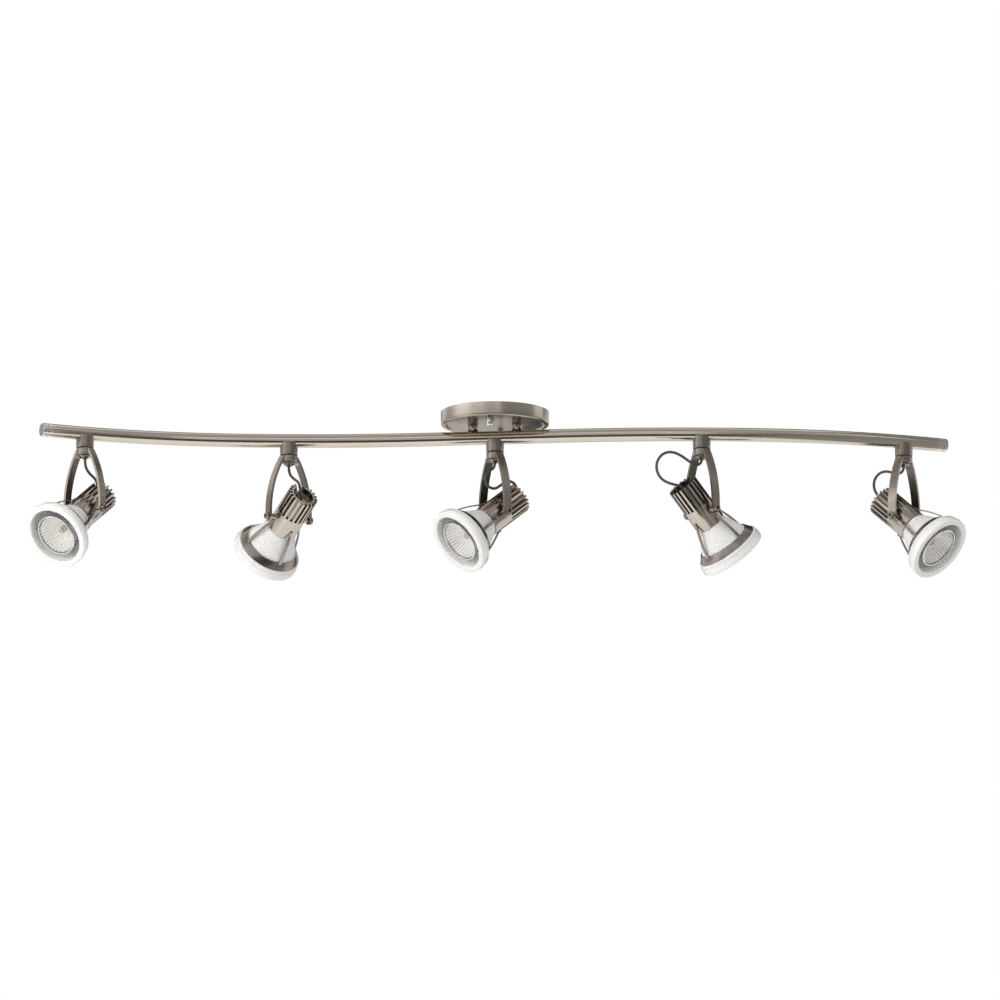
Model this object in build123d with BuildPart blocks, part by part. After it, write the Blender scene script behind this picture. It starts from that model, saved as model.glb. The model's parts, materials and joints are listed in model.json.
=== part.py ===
"""Five-light wave bar: a bent tube under a round ceiling canopy carries five aimable lamp heads.

Millimetres, +Z up. The origin is the centre of the canopy's top rim, on the ceiling plane,
and +X runs along the bar at its middle, from one canopy post to the other.
"""

import os
from math import cos, radians, sin

from build123d import *

os.makedirs("parts", exist_ok=True)

# Canopy and its mounting strap
canopy_radius = 63.5
canopy_height = 16.0
canopy_sheet = 1.0
canopy_corner = 2.4
canopy_bead_width = 6.0
canopy_dish = 1.2
strap_length = 104.0
strap_width = 15.0
strap_thickness = 2.0
box_screw_spacing = 69.85
box_slot_length = 12.0
box_slot_width = 4.8
stud_spacing = 88.9
stud_radius = 2.05
stud_past_canopy = 6.0
cap_nut_radius = 4.7
cap_nut_collar = 6.6
ground_screw_y = 16.0
ground_screw_radius = 2.0
ground_screw_head = 3.8
ground_screw_height = 2.6

# Wave bar
tube_radius = 8.0
tube_wall = 1.2
bar_drop = 30.5
bar_straight = 60.0
bar_inner_radius = 1130.0
bar_inner_length = 245.0
bar_outer_radius = 620.0
bar_outer_length = 229.0
end_cap_length = 7.0
end_cap_groove = 1.2
end_cap_groove_depth = 1.0
end_cap_plug = 9.0
wire_hole_radius = 2.6

# Posts between the canopy and the bar
post_spacing = 52.0
post_radius = 6.0
nipple_radius = 4.8
nipple_length = 6.0
nipple_wall = 1.8
post_nut_across = 14.0
post_nut_height = 3.2

# Collar, washer, swivel bush and yoke, measured down from the bar's axis
head_margin = 48.0
collar_radius = 10.4
collar_top = 2.0
collar_bottom = 17.3
collar_edge = 1.0
bush_radius = 5.0
bush_bore = 2.3
bush_up = 6.0
bush_flange_radius = 7.4
bush_flange_height = 4.4
washer_radius = 9.9
washer_thickness = 0.6
hub_radius = 10.2
hub_height = 8.0
hub_edge = 1.4
pivot_drop = 92.5
arm_width = 10.0
arm_thickness = 3.0
arm_inner = 26.0
arm_straight = 6.0
arm_root = 8.5

# Lamp head, with stations measured forward from the rear end of its heat sink
pivot_station = 40.0
barrel_radius = 18.2
barrel_bore = 12.8
barrel_end = 57.0
barrel_edge = 0.8
fin_length = 30.0
fin_count = 20
fin_depth = 4.0
fin_gap = 3.1
rear_recess = 8.0
rear_recess_radius = 12.4
rear_wall = 3.0
notch_width = 9.5
boss_radius = 3.2
screw_radius = 2.0
screw_head_radius = 4.1
screw_head_height = 3.4
screw_dome = 1.0
screw_socket_across = 2.6
screw_socket_depth = 1.6

# Guard: a conical ring on four struts
ring_rear = 83.4
ring_front = 91.4
ring_rear_radius = 31.9
ring_front_radius = 37.6
guard_thickness = 1.6
strut_count = 4
strut_width = 3.5
strut_foot = 44.4
strut_bend = 49.0
strut_bow = 1.6

# Glass cone
glass_rear = 57.6
glass_rear_radius = 17.4
glass_wall = 3.0
lip_root_radius = 38.9
lip_shoulder = 98.6
lip_front = 104.6
lip_radius = 41.0
lip_inner_radius = 33.4
lip_edge = 2.2

# Reflector lamp and its holder
lamp_face = 102.0
lamp_radius = 25.0
lamp_rim = 3.0
lamp_neck_station = 69.4
lamp_neck_radius = 11.8
lamp_base_station = 54.4
lamp_base_radius = 10.6
lens_radius = 23.2
lens_thickness = 2.2
dish_bottom_station = 76.4
dish_bottom_radius = 5.6
burner_radius = 4.4
burner_length = 17.0
lamp_pin_radius = 2.5
lamp_pin_length = 7.0
lamp_pin_spacing = 10.0
holder_radius = 12.0
holder_tail_radius = 9.0
holder_shoulder = 22.0

# Lead
lead_radius = 1.6

# Clearances
thread_clearance = 0.05
running_clearance = 0.08
face_clearance = 0.12
saddle_clearance = 0.15
glass_clearance = 0.3
socket_clearance = 0.4

# How each head is turned about its swivel and tilted up from straight down, in degrees
head_swivels = [238.0, 131.0, 220.0, 43.0, -25.0]
head_tilts = [53.5, 56.0, 53.3, 44.5, 50.0]

# Each lead's route: along the aim, along the pivot, and up from the bar's axis
lead_routes = [
    [(0, 0, -28), (0, 0, -39), (-7, 0.8, -47), (-18.2, 1, -51.6), (-22.4, 0.6, -61), (-29.6, 0, -70.6),
     (-23.4, 0, -75.2)],
    [(0, 0, -28), (0, 0, -38.5), (-8, -0.8, -46), (-21, -1, -53), (-24.5, -0.6, -62.7), (-30.5, 0, -71.9),
     (-24.1, 0, -76.2)],
    [(0, 0, -28), (0, 0, -36), (7.9, 0, -40.2), (15.1, 0.6, -48), (12.8, 1.2, -58.4), (3, 1.5, -62.5),
     (-6, 1.2, -57.5), (-13, 1, -51.5), (-21, 0.8, -49.5), (-28, 0.5, -53), (-31, 0.2, -60.5),
     (-30.1, 0, -70), (-23.3, 0, -75.1)],
    [(0, 0, -28), (0, 0, -34), (-6.5, 1, -38), (-15, 3.5, -34), (-25, 6.5, -27), (-36, 10, -23),
     (-47, 13, -26), (-54, 15, -36), (-55, 14.5, -47), (-51, 11.5, -57), (-42, 7, -62.5),
     (-26.6, 0, -65.4), (-20.4, 0, -71.7)],
    [(0, 0, -28), (0, 0, -34), (-6.5, 0, -38), (-15, -0.5, -35.5), (-24, -1, -32.5), (-33, -1.2, -34),
     (-39.5, -1, -40), (-41.5, -0.6, -48.5), (-38.5, -0.3, -57), (-30.6, 0, -66.8), (-22.3, 0, -73.8)],
]

bar_height = -bar_drop
head_pitch = (bar_straight + bar_inner_length + bar_outer_length - head_margin) / 2
canopy_underside = canopy_dish - canopy_height
post_nut_base = canopy_underside + canopy_sheet
nipple_top = post_nut_base + nipple_length
wire_bore = nipple_radius - nipple_wall
screw_inner_end = barrel_bore + face_clearance
arm_outer = arm_inner + arm_thickness
hub_top = -collar_bottom - washer_thickness - face_clearance
hub_bottom = hub_top - hub_height
flange_top = hub_bottom - face_clearance
bush_bottom = flange_top - bush_flange_height


def station(forward):
    """Height in a lamp head's frame, whose origin is the pivot, of a station from its rear end."""
    return pivot_station - forward


def finish(piece, name):
    """Label a finished piece and write it under its own name."""
    piece.label = name
    export_step(piece, f"parts/{name}.step")


# Canopy: an open spun cup with a raised bead round a slightly dished underside
with BuildPart() as canopy:
    with BuildSketch(Plane.XZ):
        with BuildLine():
            bead_inner = canopy_radius - canopy_bead_width
            Polyline(
                (0, canopy_underside),
                (bead_inner - canopy_dish, canopy_underside),
                (bead_inner, -canopy_height),
                (canopy_radius, -canopy_height),
                (canopy_radius, 0),
                (canopy_radius - canopy_sheet, 0),
                (canopy_radius - canopy_sheet, canopy_sheet - canopy_height),
                (bead_inner, canopy_sheet - canopy_height),
                (bead_inner - canopy_dish, canopy_underside + canopy_sheet),
                (0, canopy_underside + canopy_sheet),
                close=True,
            )
        canopy_section = make_face()
        rim_corner = canopy_section.vertices().sort_by(Axis.Y)[:2].sort_by(Axis.X)[-1]
        fillet(rim_corner, canopy_corner)
    revolve(axis=Axis.Z)
    with BuildSketch(Plane.XY.offset(-canopy_height)):
        with GridLocations(0, stud_spacing, 1, 2):
            Circle(stud_radius + thread_clearance)
        with GridLocations(post_spacing, 0, 2, 1):
            Circle(nipple_radius + thread_clearance)
    extrude(amount=canopy_height, mode=Mode.SUBTRACT)
finish(canopy.part, "canopy")

# Mounting strap: a flat bar with two slots for the ceiling box and two tapped stud holes
with BuildPart() as mounting_strap:
    with BuildSketch(Plane.XY.offset(-strap_thickness)):
        SlotOverall(strap_length, strap_width, rotation=90)
        with GridLocations(0, box_screw_spacing, 1, 2):
            SlotOverall(box_slot_length, box_slot_width, rotation=90, mode=Mode.SUBTRACT)
        with GridLocations(0, stud_spacing, 1, 2):
            Circle(stud_radius + thread_clearance, mode=Mode.SUBTRACT)
        with Locations((0, ground_screw_y)):
            Circle(ground_screw_radius + thread_clearance, mode=Mode.SUBTRACT)
    extrude(amount=strap_thickness)
finish(mounting_strap.part, "mounting_strap")

with BuildPart() as ground_screw:
    with BuildSketch(Plane.XY.offset(-strap_thickness)):
        with Locations((0, ground_screw_y)):
            RegularPolygon(ground_screw_head, 6)
    extrude(amount=-ground_screw_height)
    with BuildSketch(Plane.XY.offset(-strap_thickness)):
        with Locations((0, ground_screw_y)):
            Circle(ground_screw_radius)
    extrude(amount=strap_thickness)
finish(ground_screw.part, "ground_screw")

# Studs hang from the strap through the canopy, and acorn nuts hold the canopy up on them
stud_bottom = canopy_underside - stud_past_canopy
with BuildPart() as strap_studs:
    with BuildSketch():
        with GridLocations(0, stud_spacing, 1, 2):
            Circle(stud_radius)
    extrude(amount=stud_bottom)
finish(strap_studs.part, "strap_studs")

with BuildPart() as acorn_nut:
    with BuildSketch(Plane.XZ):
        with BuildLine():
            dome_base = canopy_underside - cap_nut_collar
            nut_bottom = dome_base - cap_nut_radius
            nut_bore = stud_radius + thread_clearance
            Polyline(
                (0, nut_bottom),
                (0, stud_bottom),
                (nut_bore, stud_bottom),
                (nut_bore, canopy_underside),
                (cap_nut_radius, canopy_underside),
                (cap_nut_radius, dome_base),
            )
            RadiusArc((cap_nut_radius, dome_base), (0, nut_bottom), cap_nut_radius)
        make_face()
    revolve(axis=Axis.Z)
with BuildPart() as cap_nuts:
    with GridLocations(0, stud_spacing, 1, 2):
        add(acorn_nut.part)
finish(cap_nuts.part, "cap_nuts")

# Wave bar: straight under the canopy, then two tangent arcs each way that bend to opposite sides
inner_turn = bar_inner_length / radians(1) / bar_inner_radius
outer_turn = bar_outer_length / radians(1) / bar_outer_radius
with BuildLine(Plane.XY.offset(bar_height)) as bar_path:
    middle = Line((-bar_straight, 0), (bar_straight, 0))
    right_inner = JernArc(middle @ 1, (1, 0), bar_inner_radius, inner_turn)
    JernArc(right_inner @ 1, right_inner % 1, bar_outer_radius, outer_turn)
    left_inner = JernArc(middle @ 0, (-1, 0), bar_inner_radius, inner_turn)
    JernArc(left_inner @ 1, left_inner % 1, bar_outer_radius, outer_turn)
bar_wire = bar_path.wire()
bar_length = bar_wire.length


def along_bar(distance):
    """Frame on the bar's axis at a distance along it from the middle: X along the bar, Z up."""
    share = 0.5 + distance / bar_length
    return Plane(bar_wire @ share, x_dir=bar_wire % share, z_dir=(0, 0, 1))


head_distances = [head_pitch * (number - 2) for number in range(5)]
with BuildPart() as bar_tube:
    with BuildSketch(Plane(bar_wire @ 0, z_dir=bar_wire % 0)):
        Circle(tube_radius)
        Circle(tube_radius - tube_wall, mode=Mode.SUBTRACT)
    sweep(path=bar_wire)
    for distance in head_distances:
        with BuildSketch(along_bar(distance)):
            Circle(wire_hole_radius)
        extrude(amount=-tube_radius, mode=Mode.SUBTRACT)
    with BuildSketch(Plane.XY.offset(bar_height)):
        with GridLocations(post_spacing, 0, 2, 1):
            Circle(wire_hole_radius)
    extrude(amount=tube_radius, mode=Mode.SUBTRACT)
finish(bar_tube.part, "bar_tube")

# End cap: a chromed button with a groove where it meets the tube, on a plug inside the bore
with BuildPart() as end_cap:
    with BuildSketch(Plane.XZ):
        with BuildLine():
            plug_radius = tube_radius - tube_wall - saddle_clearance
            groove_radius = tube_radius - end_cap_groove_depth
            Polyline(
                (0, -end_cap_plug),
                (plug_radius, -end_cap_plug),
                (plug_radius, 0),
                (groove_radius, 0),
                (groove_radius, end_cap_groove),
                (tube_radius, end_cap_groove),
                (tube_radius, end_cap_length),
                (0, end_cap_length),
                close=True,
            )
        cap_section = make_face()
        fillet(cap_section.vertices().group_by(Axis.Y)[-1].sort_by(Axis.X)[-1], end_cap_groove)
    revolve(axis=Axis.Z)
left_end = Plane(bar_wire @ 0, z_dir=-(bar_wire % 0))
right_end = Plane(bar_wire @ 1, z_dir=bar_wire % 1)
finish(Compound(children=[end_cap.part.moved(end.location) for end in (left_end, right_end)]), "bar_end_caps")

# Posts: turned spacers saddled on the bar, each with a hollow threaded nipple up into the canopy
with BuildPart() as bar_posts:
    with BuildSketch(Plane.XY.offset(bar_height)):
        with GridLocations(post_spacing, 0, 2, 1):
            Circle(post_radius)
    extrude(amount=canopy_underside - bar_height)
    with BuildSketch(Plane.XY.offset(canopy_underside)):
        with GridLocations(post_spacing, 0, 2, 1):
            Circle(nipple_radius)
    extrude(amount=nipple_top - canopy_underside)
    with BuildSketch(Plane.XY.offset(bar_height)):
        with GridLocations(post_spacing, 0, 2, 1):
            Circle(wire_bore)
    extrude(amount=nipple_top - bar_height, mode=Mode.SUBTRACT)
    with BuildSketch(Plane.YZ):
        with Locations((0, bar_height)):
            Circle(tube_radius + saddle_clearance)
    extrude(amount=post_spacing, both=True, mode=Mode.SUBTRACT)
finish(bar_posts.part, "bar_posts")

with BuildPart() as post_nuts:
    with BuildSketch(Plane.XY.offset(post_nut_base)):
        with GridLocations(post_spacing, 0, 2, 1):
            RegularPolygon(post_nut_across / 2, 6, major_radius=False)
            Circle(nipple_radius + thread_clearance, mode=Mode.SUBTRACT)
    extrude(amount=post_nut_height)
finish(post_nuts.part, "post_nuts")

# Collar: a boss saddled round the underside of the bar, in a frame on the bar's axis
with BuildPart() as collar:
    with BuildSketch(Plane.XY.offset(-collar_bottom)):
        Circle(collar_radius)
    extrude(amount=collar_bottom - collar_top)
    fillet(collar.edges().group_by(Axis.Z)[-1], collar_edge)
    with BuildSketch(Plane.XY.offset(-collar_bottom)):
        Circle(bush_radius + thread_clearance)
    extrude(amount=collar_bottom, mode=Mode.SUBTRACT)
    with BuildSketch(Plane.YZ):
        Circle(tube_radius + saddle_clearance)
    extrude(amount=collar_radius, both=True, mode=Mode.SUBTRACT)

with BuildPart() as swivel_washer:
    with BuildSketch(Plane.XY.offset(-collar_bottom - washer_thickness)):
        Circle(washer_radius)
        Circle(bush_radius + running_clearance, mode=Mode.SUBTRACT)
    extrude(amount=washer_thickness)

# Swivel bush: a hollow screw up into the collar, with a domed flange that carries the yoke
with BuildPart() as swivel_bush:
    with BuildSketch(Plane.XZ):
        with BuildLine():
            bush_top = bush_up - collar_bottom
            dome_start = flange_top - bush_flange_height / 3
            Polyline(
                (bush_bore, bush_bottom),
                (bush_bore, bush_top),
                (bush_radius, bush_top),
                (bush_radius, flange_top),
                (bush_flange_radius, flange_top),
                (bush_flange_radius, dome_start),
            )
            RadiusArc((bush_flange_radius, dome_start), (bush_bore, bush_bottom), bush_flange_radius)
        make_face()
    revolve(axis=Axis.Z)

# Yoke: a hub with two bowed flat arms that straighten towards the tilt pivot
arm_knee = arm_straight - pivot_drop
arm_rise = hub_top - hub_edge - arm_knee
arm_middle = (arm_inner + arm_outer) / 2
arm_bow = ((arm_middle - arm_root) ** 2 + arm_rise**2) / (2 * (arm_middle - arm_root))
arm_turn = Vector(arm_bow - arm_middle + arm_root, arm_rise).get_angle(Vector(1, 0))
with BuildPart() as yoke:
    with BuildSketch(Plane.YZ):
        with BuildLine():
            outer_bow = arm_bow + arm_thickness / 2
            inner_bow = arm_bow - arm_thickness / 2
            centre = arm_middle - arm_bow
            outer_edge = CenterArc((centre, arm_knee), outer_bow, 0, arm_turn)
            inner_edge = CenterArc((centre, arm_knee), inner_bow, 0, arm_turn)
            Line(outer_edge @ 1, inner_edge @ 1)
            Polyline(
                outer_edge @ 0,
                (arm_outer, -pivot_drop - arm_width / 2),
                (arm_inner, -pivot_drop - arm_width / 2),
                inner_edge @ 0,
            )
        make_face()
        mirror(about=Plane.YZ)
    extrude(amount=arm_width / 2, both=True)
    tips = yoke.edges().filter_by(Axis.Y).group_by(Axis.Z)[0]
    fillet(tips, arm_width / 2 - face_clearance)
    with BuildSketch(Plane.XZ):
        with Locations((0, hub_bottom)):
            hub_section = Rectangle(hub_radius, hub_height, align=Align.MIN)
        fillet(hub_section.vertices().group_by(Axis.X)[-1].sort_by(Axis.Y)[-1], hub_edge)
    revolve(axis=Axis.Z)
    with BuildSketch(Plane.XY.offset(hub_bottom - arm_rise)):
        Circle(bush_radius + running_clearance)
    extrude(amount=arm_rise + hub_height, mode=Mode.SUBTRACT)
    with BuildSketch(Plane.XZ):
        with Locations((0, -pivot_drop)):
            Circle(screw_radius + running_clearance)
    extrude(amount=arm_outer, both=True, mode=Mode.SUBTRACT)

# Heat sink barrel: finned at the rear, smooth at the front, with two pivot bosses
with BuildPart() as heat_sink:
    with BuildSketch(Plane.XY.offset(station(barrel_end))):
        Circle(barrel_radius)
    extrude(amount=barrel_end)
    chamfer(heat_sink.edges().group_by(Axis.Z)[0], barrel_edge)
    with BuildSketch(Plane.XZ):
        Circle(boss_radius)
    extrude(amount=arm_inner - face_clearance, both=True)
    with BuildSketch(Plane.XY.offset(station(barrel_end))):
        Circle(barrel_bore)
    extrude(amount=barrel_end - rear_recess - rear_wall, mode=Mode.SUBTRACT)
    with BuildSketch(Plane.XY.offset(station(rear_recess))):
        Circle(rear_recess_radius)
        with Locations((barrel_radius / 2, 0)):
            Rectangle(barrel_radius, notch_width)
    extrude(amount=rear_recess, mode=Mode.SUBTRACT)
    with BuildSketch(Plane.XY.offset(station(rear_recess + rear_wall))):
        Circle(lead_radius + socket_clearance)
    extrude(amount=rear_wall, mode=Mode.SUBTRACT)
    with BuildSketch(Plane.XY.offset(station(fin_length))):
        with PolarLocations(barrel_radius - fin_depth / 2, fin_count, start_angle=180 / fin_count):
            Rectangle(fin_depth, fin_gap)
    extrude(amount=fin_length, mode=Mode.SUBTRACT)
    with BuildSketch(Plane.XZ):
        Circle(screw_radius + thread_clearance)
    extrude(amount=arm_inner, both=True, mode=Mode.SUBTRACT)

# Pivot screws: domed heads outside the yoke arms, shanks through arm and boss into the barrel
with BuildPart() as pivot_screws:
    with BuildSketch(Plane.YZ):
        with BuildLine():
            head_seat = arm_outer + face_clearance
            head_top = head_seat + screw_head_height
            dome_radius = (screw_head_radius**2 + screw_dome**2) / (2 * screw_dome)
            Polyline(
                (head_top, 0),
                (screw_inner_end, 0),
                (screw_inner_end, screw_radius),
                (head_seat, screw_radius),
                (head_seat, screw_head_radius),
                (head_top - screw_dome, screw_head_radius),
            )
            RadiusArc((head_top - screw_dome, screw_head_radius), (head_top, 0), dome_radius)
        make_face()
    revolve(axis=Axis.Y)
    with BuildSketch(Plane.XZ.offset(-head_top)):
        RegularPolygon(screw_socket_across / 2, 6, major_radius=False)
    extrude(amount=screw_socket_depth, mode=Mode.SUBTRACT)
    mirror(about=Plane.XZ)

# Guard: a conical ring on bowed struts whose feet lie along the barrel
with BuildPart() as guard:
    with BuildSketch(Plane.XZ):
        with BuildLine():
            Polyline(
                (ring_rear_radius, station(ring_rear)),
                (ring_front_radius, station(ring_front)),
                (ring_front_radius - guard_thickness, station(ring_front)),
                (ring_rear_radius - guard_thickness, station(ring_rear)),
                close=True,
            )
        make_face()
    revolve(axis=Axis.Z)
    with BuildSketch(Plane.XZ):
        with BuildLine():
            foot_radius = barrel_radius + face_clearance
            ring_slope = (ring_front_radius - ring_rear_radius) / (ring_front - ring_rear)
            tip_radius = ring_rear_radius - guard_thickness + ring_slope * guard_thickness
            foot_height = station(strut_foot)
            bend_height = station(strut_bend)
            tip_height = station(ring_rear + guard_thickness)
            for lift in (0, guard_thickness):
                Line((foot_radius + lift, foot_height), (foot_radius + lift, bend_height))
                SagittaArc((foot_radius + lift, bend_height), (tip_radius + lift, tip_height), strut_bow)
            Line((foot_radius, foot_height), (foot_radius + guard_thickness, foot_height))
            Line((tip_radius, tip_height), (tip_radius + guard_thickness, tip_height))
        make_face()
    strut = extrude(amount=strut_width / 2, both=True, mode=Mode.PRIVATE)
    with PolarLocations(0, strut_count):
        add(strut)

# Glass: a cone that follows the ring's bore and ends in a thick rounded lip
with BuildPart() as glass:
    with BuildSketch(Plane.XZ):
        with BuildLine():
            seat_rear = ring_rear_radius - guard_thickness - glass_clearance
            seat_front = ring_front_radius - guard_thickness - glass_clearance
            Polyline(
                (glass_rear_radius, station(glass_rear)),
                (seat_rear, station(ring_rear)),
                (seat_front, station(ring_front)),
                (lip_root_radius, station(ring_front)),
                (lip_radius, station(lip_shoulder)),
                (lip_radius, station(lip_front)),
                (lip_inner_radius, station(lip_front)),
                (seat_front - glass_wall, station(ring_front)),
                (seat_rear - glass_wall, station(ring_rear)),
                (glass_rear_radius - glass_wall, station(glass_rear)),
                close=True,
            )
        glass_section = make_face()
        fillet(glass_section.vertices().group_by(Axis.Y)[0], lip_edge)
    revolve(axis=Axis.Z)

# Reflector lamp: rim, parabolic flank, ceramic base with two pins, then its lens and burner
with BuildPart() as reflector:
    with BuildSketch(Plane.XZ):
        with BuildLine():
            lens_seat = lamp_face - lens_thickness
            dish_edge = lens_radius - lens_thickness
            rim_rear = (lamp_radius, station(lamp_face - lamp_rim))
            neck = (lamp_neck_radius, station(lamp_neck_station))
            dish_front = (dish_edge, station(lens_seat))
            dish_rear = (dish_bottom_radius, station(dish_bottom_station))
            Polyline(
                dish_front,
                (lens_radius + thread_clearance, station(lens_seat)),
                (lens_radius + thread_clearance, station(lamp_face)),
                (lamp_radius, station(lamp_face)),
                rim_rear,
            )
            SagittaArc(rim_rear, neck, lamp_rim)
            Polyline(
                neck,
                (lamp_base_radius, station(lamp_base_station)),
                (0, station(lamp_base_station)),
                (0, station(dish_bottom_station)),
                dish_rear,
            )
            SagittaArc(dish_rear, dish_front, -lamp_rim)
        make_face()
    revolve(axis=Axis.Z)
    with BuildSketch(Plane.XY.offset(station(lamp_base_station))):
        with GridLocations(0, lamp_pin_spacing, 1, 2):
            Circle(lamp_pin_radius)
    extrude(amount=lamp_pin_length)

with BuildPart() as lens:
    with BuildSketch(Plane.XY.offset(station(lamp_face))):
        Circle(lens_radius)
    extrude(amount=lens_thickness)

with BuildPart() as burner:
    with BuildSketch(Plane.XY.offset(station(dish_bottom_station + burner_length))):
        Circle(burner_radius)
    extrude(amount=burner_length)
    fillet(burner.edges().group_by(Axis.Z)[0], burner_radius / 2)

# Lamp holder: a ceramic block seated on the barrel's rear wall, with a socket for each lamp pin
with BuildPart() as lamp_holder:
    with BuildSketch(Plane.XY.offset(station(lamp_base_station))):
        Circle(holder_radius)
    extrude(amount=lamp_base_station - holder_shoulder)
    with BuildSketch(Plane.XY.offset(station(holder_shoulder))):
        Circle(holder_tail_radius)
    extrude(amount=holder_shoulder - rear_recess - rear_wall)
    with BuildSketch(Plane.XY.offset(station(lamp_base_station))):
        with GridLocations(0, lamp_pin_spacing, 1, 2):
            Circle(lamp_pin_radius + socket_clearance)
    extrude(amount=lamp_pin_length + socket_clearance, mode=Mode.SUBTRACT)


def lead_tube(route):
    """A limp lead along a route, with each bend as large as its runs allow."""
    points = [Vector(*point) for point in route]
    runs = [after - before for before, after in zip(points, points[1:])]
    bends = []
    for before, after in zip(runs, runs[1:]):
        half_turn = radians(before.get_angle(after)) / 2
        bends.append(0.45 * min(before.length, after.length) * cos(half_turn) / sin(half_turn))
    print("lead bend radii", [round(bend, 1) for bend in bends])
    with BuildPart() as lead:
        with BuildLine() as lead_path:
            FilletPolyline(*points, radius=bends)
        lead_wire = lead_path.wire()
        with BuildSketch(Plane(lead_wire @ 0, z_dir=lead_wire % 0)):
            Circle(lead_radius)
        sweep(path=lead_wire)
    print("lead length", round(lead_wire.length, 1))
    return lead.part


# Place the five heads along the bar, each turned about its swivel and tilted about its pivot
washers = []
for number, distance in enumerate(head_distances, start=1):
    swivel = radians(head_swivels[number - 1])
    tilt = radians(head_tilts[number - 1])
    aim = Vector(cos(swivel), sin(swivel), 0)
    on_bar = along_bar(distance)
    turned = Plane(on_bar.origin, x_dir=aim, z_dir=(0, 0, 1))
    head = Plane(
        on_bar.origin - Vector(0, 0, pivot_drop),
        x_dir=aim * cos(tilt) + Vector(0, 0, sin(tilt)),
        z_dir=Vector(0, 0, cos(tilt)) - aim * sin(tilt),
    )
    washers.append(swivel_washer.part.moved(on_bar.location))
    finish(collar.part.moved(on_bar.location), f"collar_{number}")
    finish(swivel_bush.part.moved(on_bar.location), f"swivel_bush_{number}")
    finish(yoke.part.moved(turned.location), f"yoke_{number}")
    finish(heat_sink.part.moved(head.location), f"heat_sink_{number}")
    finish(pivot_screws.part.moved(head.location), f"pivot_screws_{number}")
    finish(guard.part.moved(head.location), f"guard_{number}")
    finish(glass.part.moved(head.location), f"glass_cone_{number}")
    finish(lamp_holder.part.moved(head.location), f"lamp_holder_{number}")
    lamp = Compound(children=[piece.part.moved(head.location) for piece in (reflector, lens, burner)])
    finish(lamp, f"reflector_lamp_{number}")
    finish(lead_tube(lead_routes[number - 1]).moved(turned.location), f"lead_{number}")
finish(Compound(children=washers), "swivel_washers")
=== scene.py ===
"""Looks of the five-light wave bar: brushed nickel, frosted glass cones and faceted reflector lamps.

Every piece is modelled in millimetres in a frame of its own, keeps its own coordinates as an attribute for its
finish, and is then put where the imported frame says.
"""

import json
import logging
import math
from dataclasses import dataclass
from enum import Enum
from typing import Callable, Iterable, Sequence

import bpy
from mathutils import Euler, Matrix, Vector


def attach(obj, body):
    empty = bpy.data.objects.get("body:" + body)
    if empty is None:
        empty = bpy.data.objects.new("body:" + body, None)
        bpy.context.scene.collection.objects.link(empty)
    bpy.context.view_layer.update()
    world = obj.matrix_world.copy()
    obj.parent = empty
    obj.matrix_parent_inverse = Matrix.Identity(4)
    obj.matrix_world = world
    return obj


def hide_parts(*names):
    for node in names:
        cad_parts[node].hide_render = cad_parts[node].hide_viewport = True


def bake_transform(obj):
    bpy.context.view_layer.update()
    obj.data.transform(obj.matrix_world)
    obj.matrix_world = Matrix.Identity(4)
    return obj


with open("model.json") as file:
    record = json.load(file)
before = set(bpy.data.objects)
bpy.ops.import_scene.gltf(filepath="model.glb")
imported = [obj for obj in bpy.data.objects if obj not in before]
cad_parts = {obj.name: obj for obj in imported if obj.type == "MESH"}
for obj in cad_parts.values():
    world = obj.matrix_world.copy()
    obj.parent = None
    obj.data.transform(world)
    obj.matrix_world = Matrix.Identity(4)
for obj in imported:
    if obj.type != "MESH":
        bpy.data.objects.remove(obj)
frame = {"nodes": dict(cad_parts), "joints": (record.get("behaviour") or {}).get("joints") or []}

Colour = tuple[float, float, float]
Point = tuple[float, float]
Place = tuple[float, float, float]
Piece = bpy.types.Object
Material = bpy.types.Material
Socket = bpy.types.NodeSocket
Materials = dict[str, Material]

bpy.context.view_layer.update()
LOG = logging.getLogger("wave_bar")
MM = 0.001
HEADS = range(1, 6)
FIXTURE = "fixture"
SIDES = (-1, 1)
QUARTER = math.pi / 2
SMOOTH = 32.0  # degrees: edges that turn by less are shaded smooth
SHARP = 50.0  # degrees: edges that turn by more are bevelled or stay sharp
TOUCH = 1e-6  # metres: places nearer than this are the same
MERGE = 2e-6  # metres: vertices nearer than this become one
LEAST_TURN = 0.02  # radians: corners that turn by less aren't rounded
SIDE_SHARE = 0.45  # the most of a side that a rounded corner takes
SADDLE_REACH = 20.0  # millimetres: half the length of the tool that cuts a saddle
UNIT = (0.0, 1.0)
NOISE_SPAN = (0.3, 0.7)  # where nearly all of a soft noise lies


def blank_selection() -> None:
    """Leave edit mode and select nothing."""
    if bpy.context.object and bpy.context.object.mode != "OBJECT":
        bpy.ops.object.mode_set(mode="OBJECT")
    bpy.ops.object.select_all(action="DESELECT")


def take(piece: Piece, mode: str = "OBJECT") -> None:
    """Select one piece alone and make it active.

    Args:
        piece: The piece to work on.
        mode: OBJECT or EDIT.
    """
    blank_selection()
    piece.select_set(True)
    bpy.context.view_layer.objects.active = piece
    bpy.ops.object.mode_set(mode=mode)


def started(name: str, primitive: Callable[..., set[str]], **settings) -> Piece:
    """Add a primitive, with its place and turn kept in its mesh.

    Args:
        name: Name of the piece.
        primitive: Blender's operator that adds it.
        **settings: The operator's settings.

    Returns:
        The piece, selected and in object mode.
    """
    blank_selection()
    primitive(**settings)
    piece = bpy.context.object
    piece.name = name
    bpy.ops.object.transform_apply(location=True, rotation=True, scale=True)
    return piece


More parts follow.
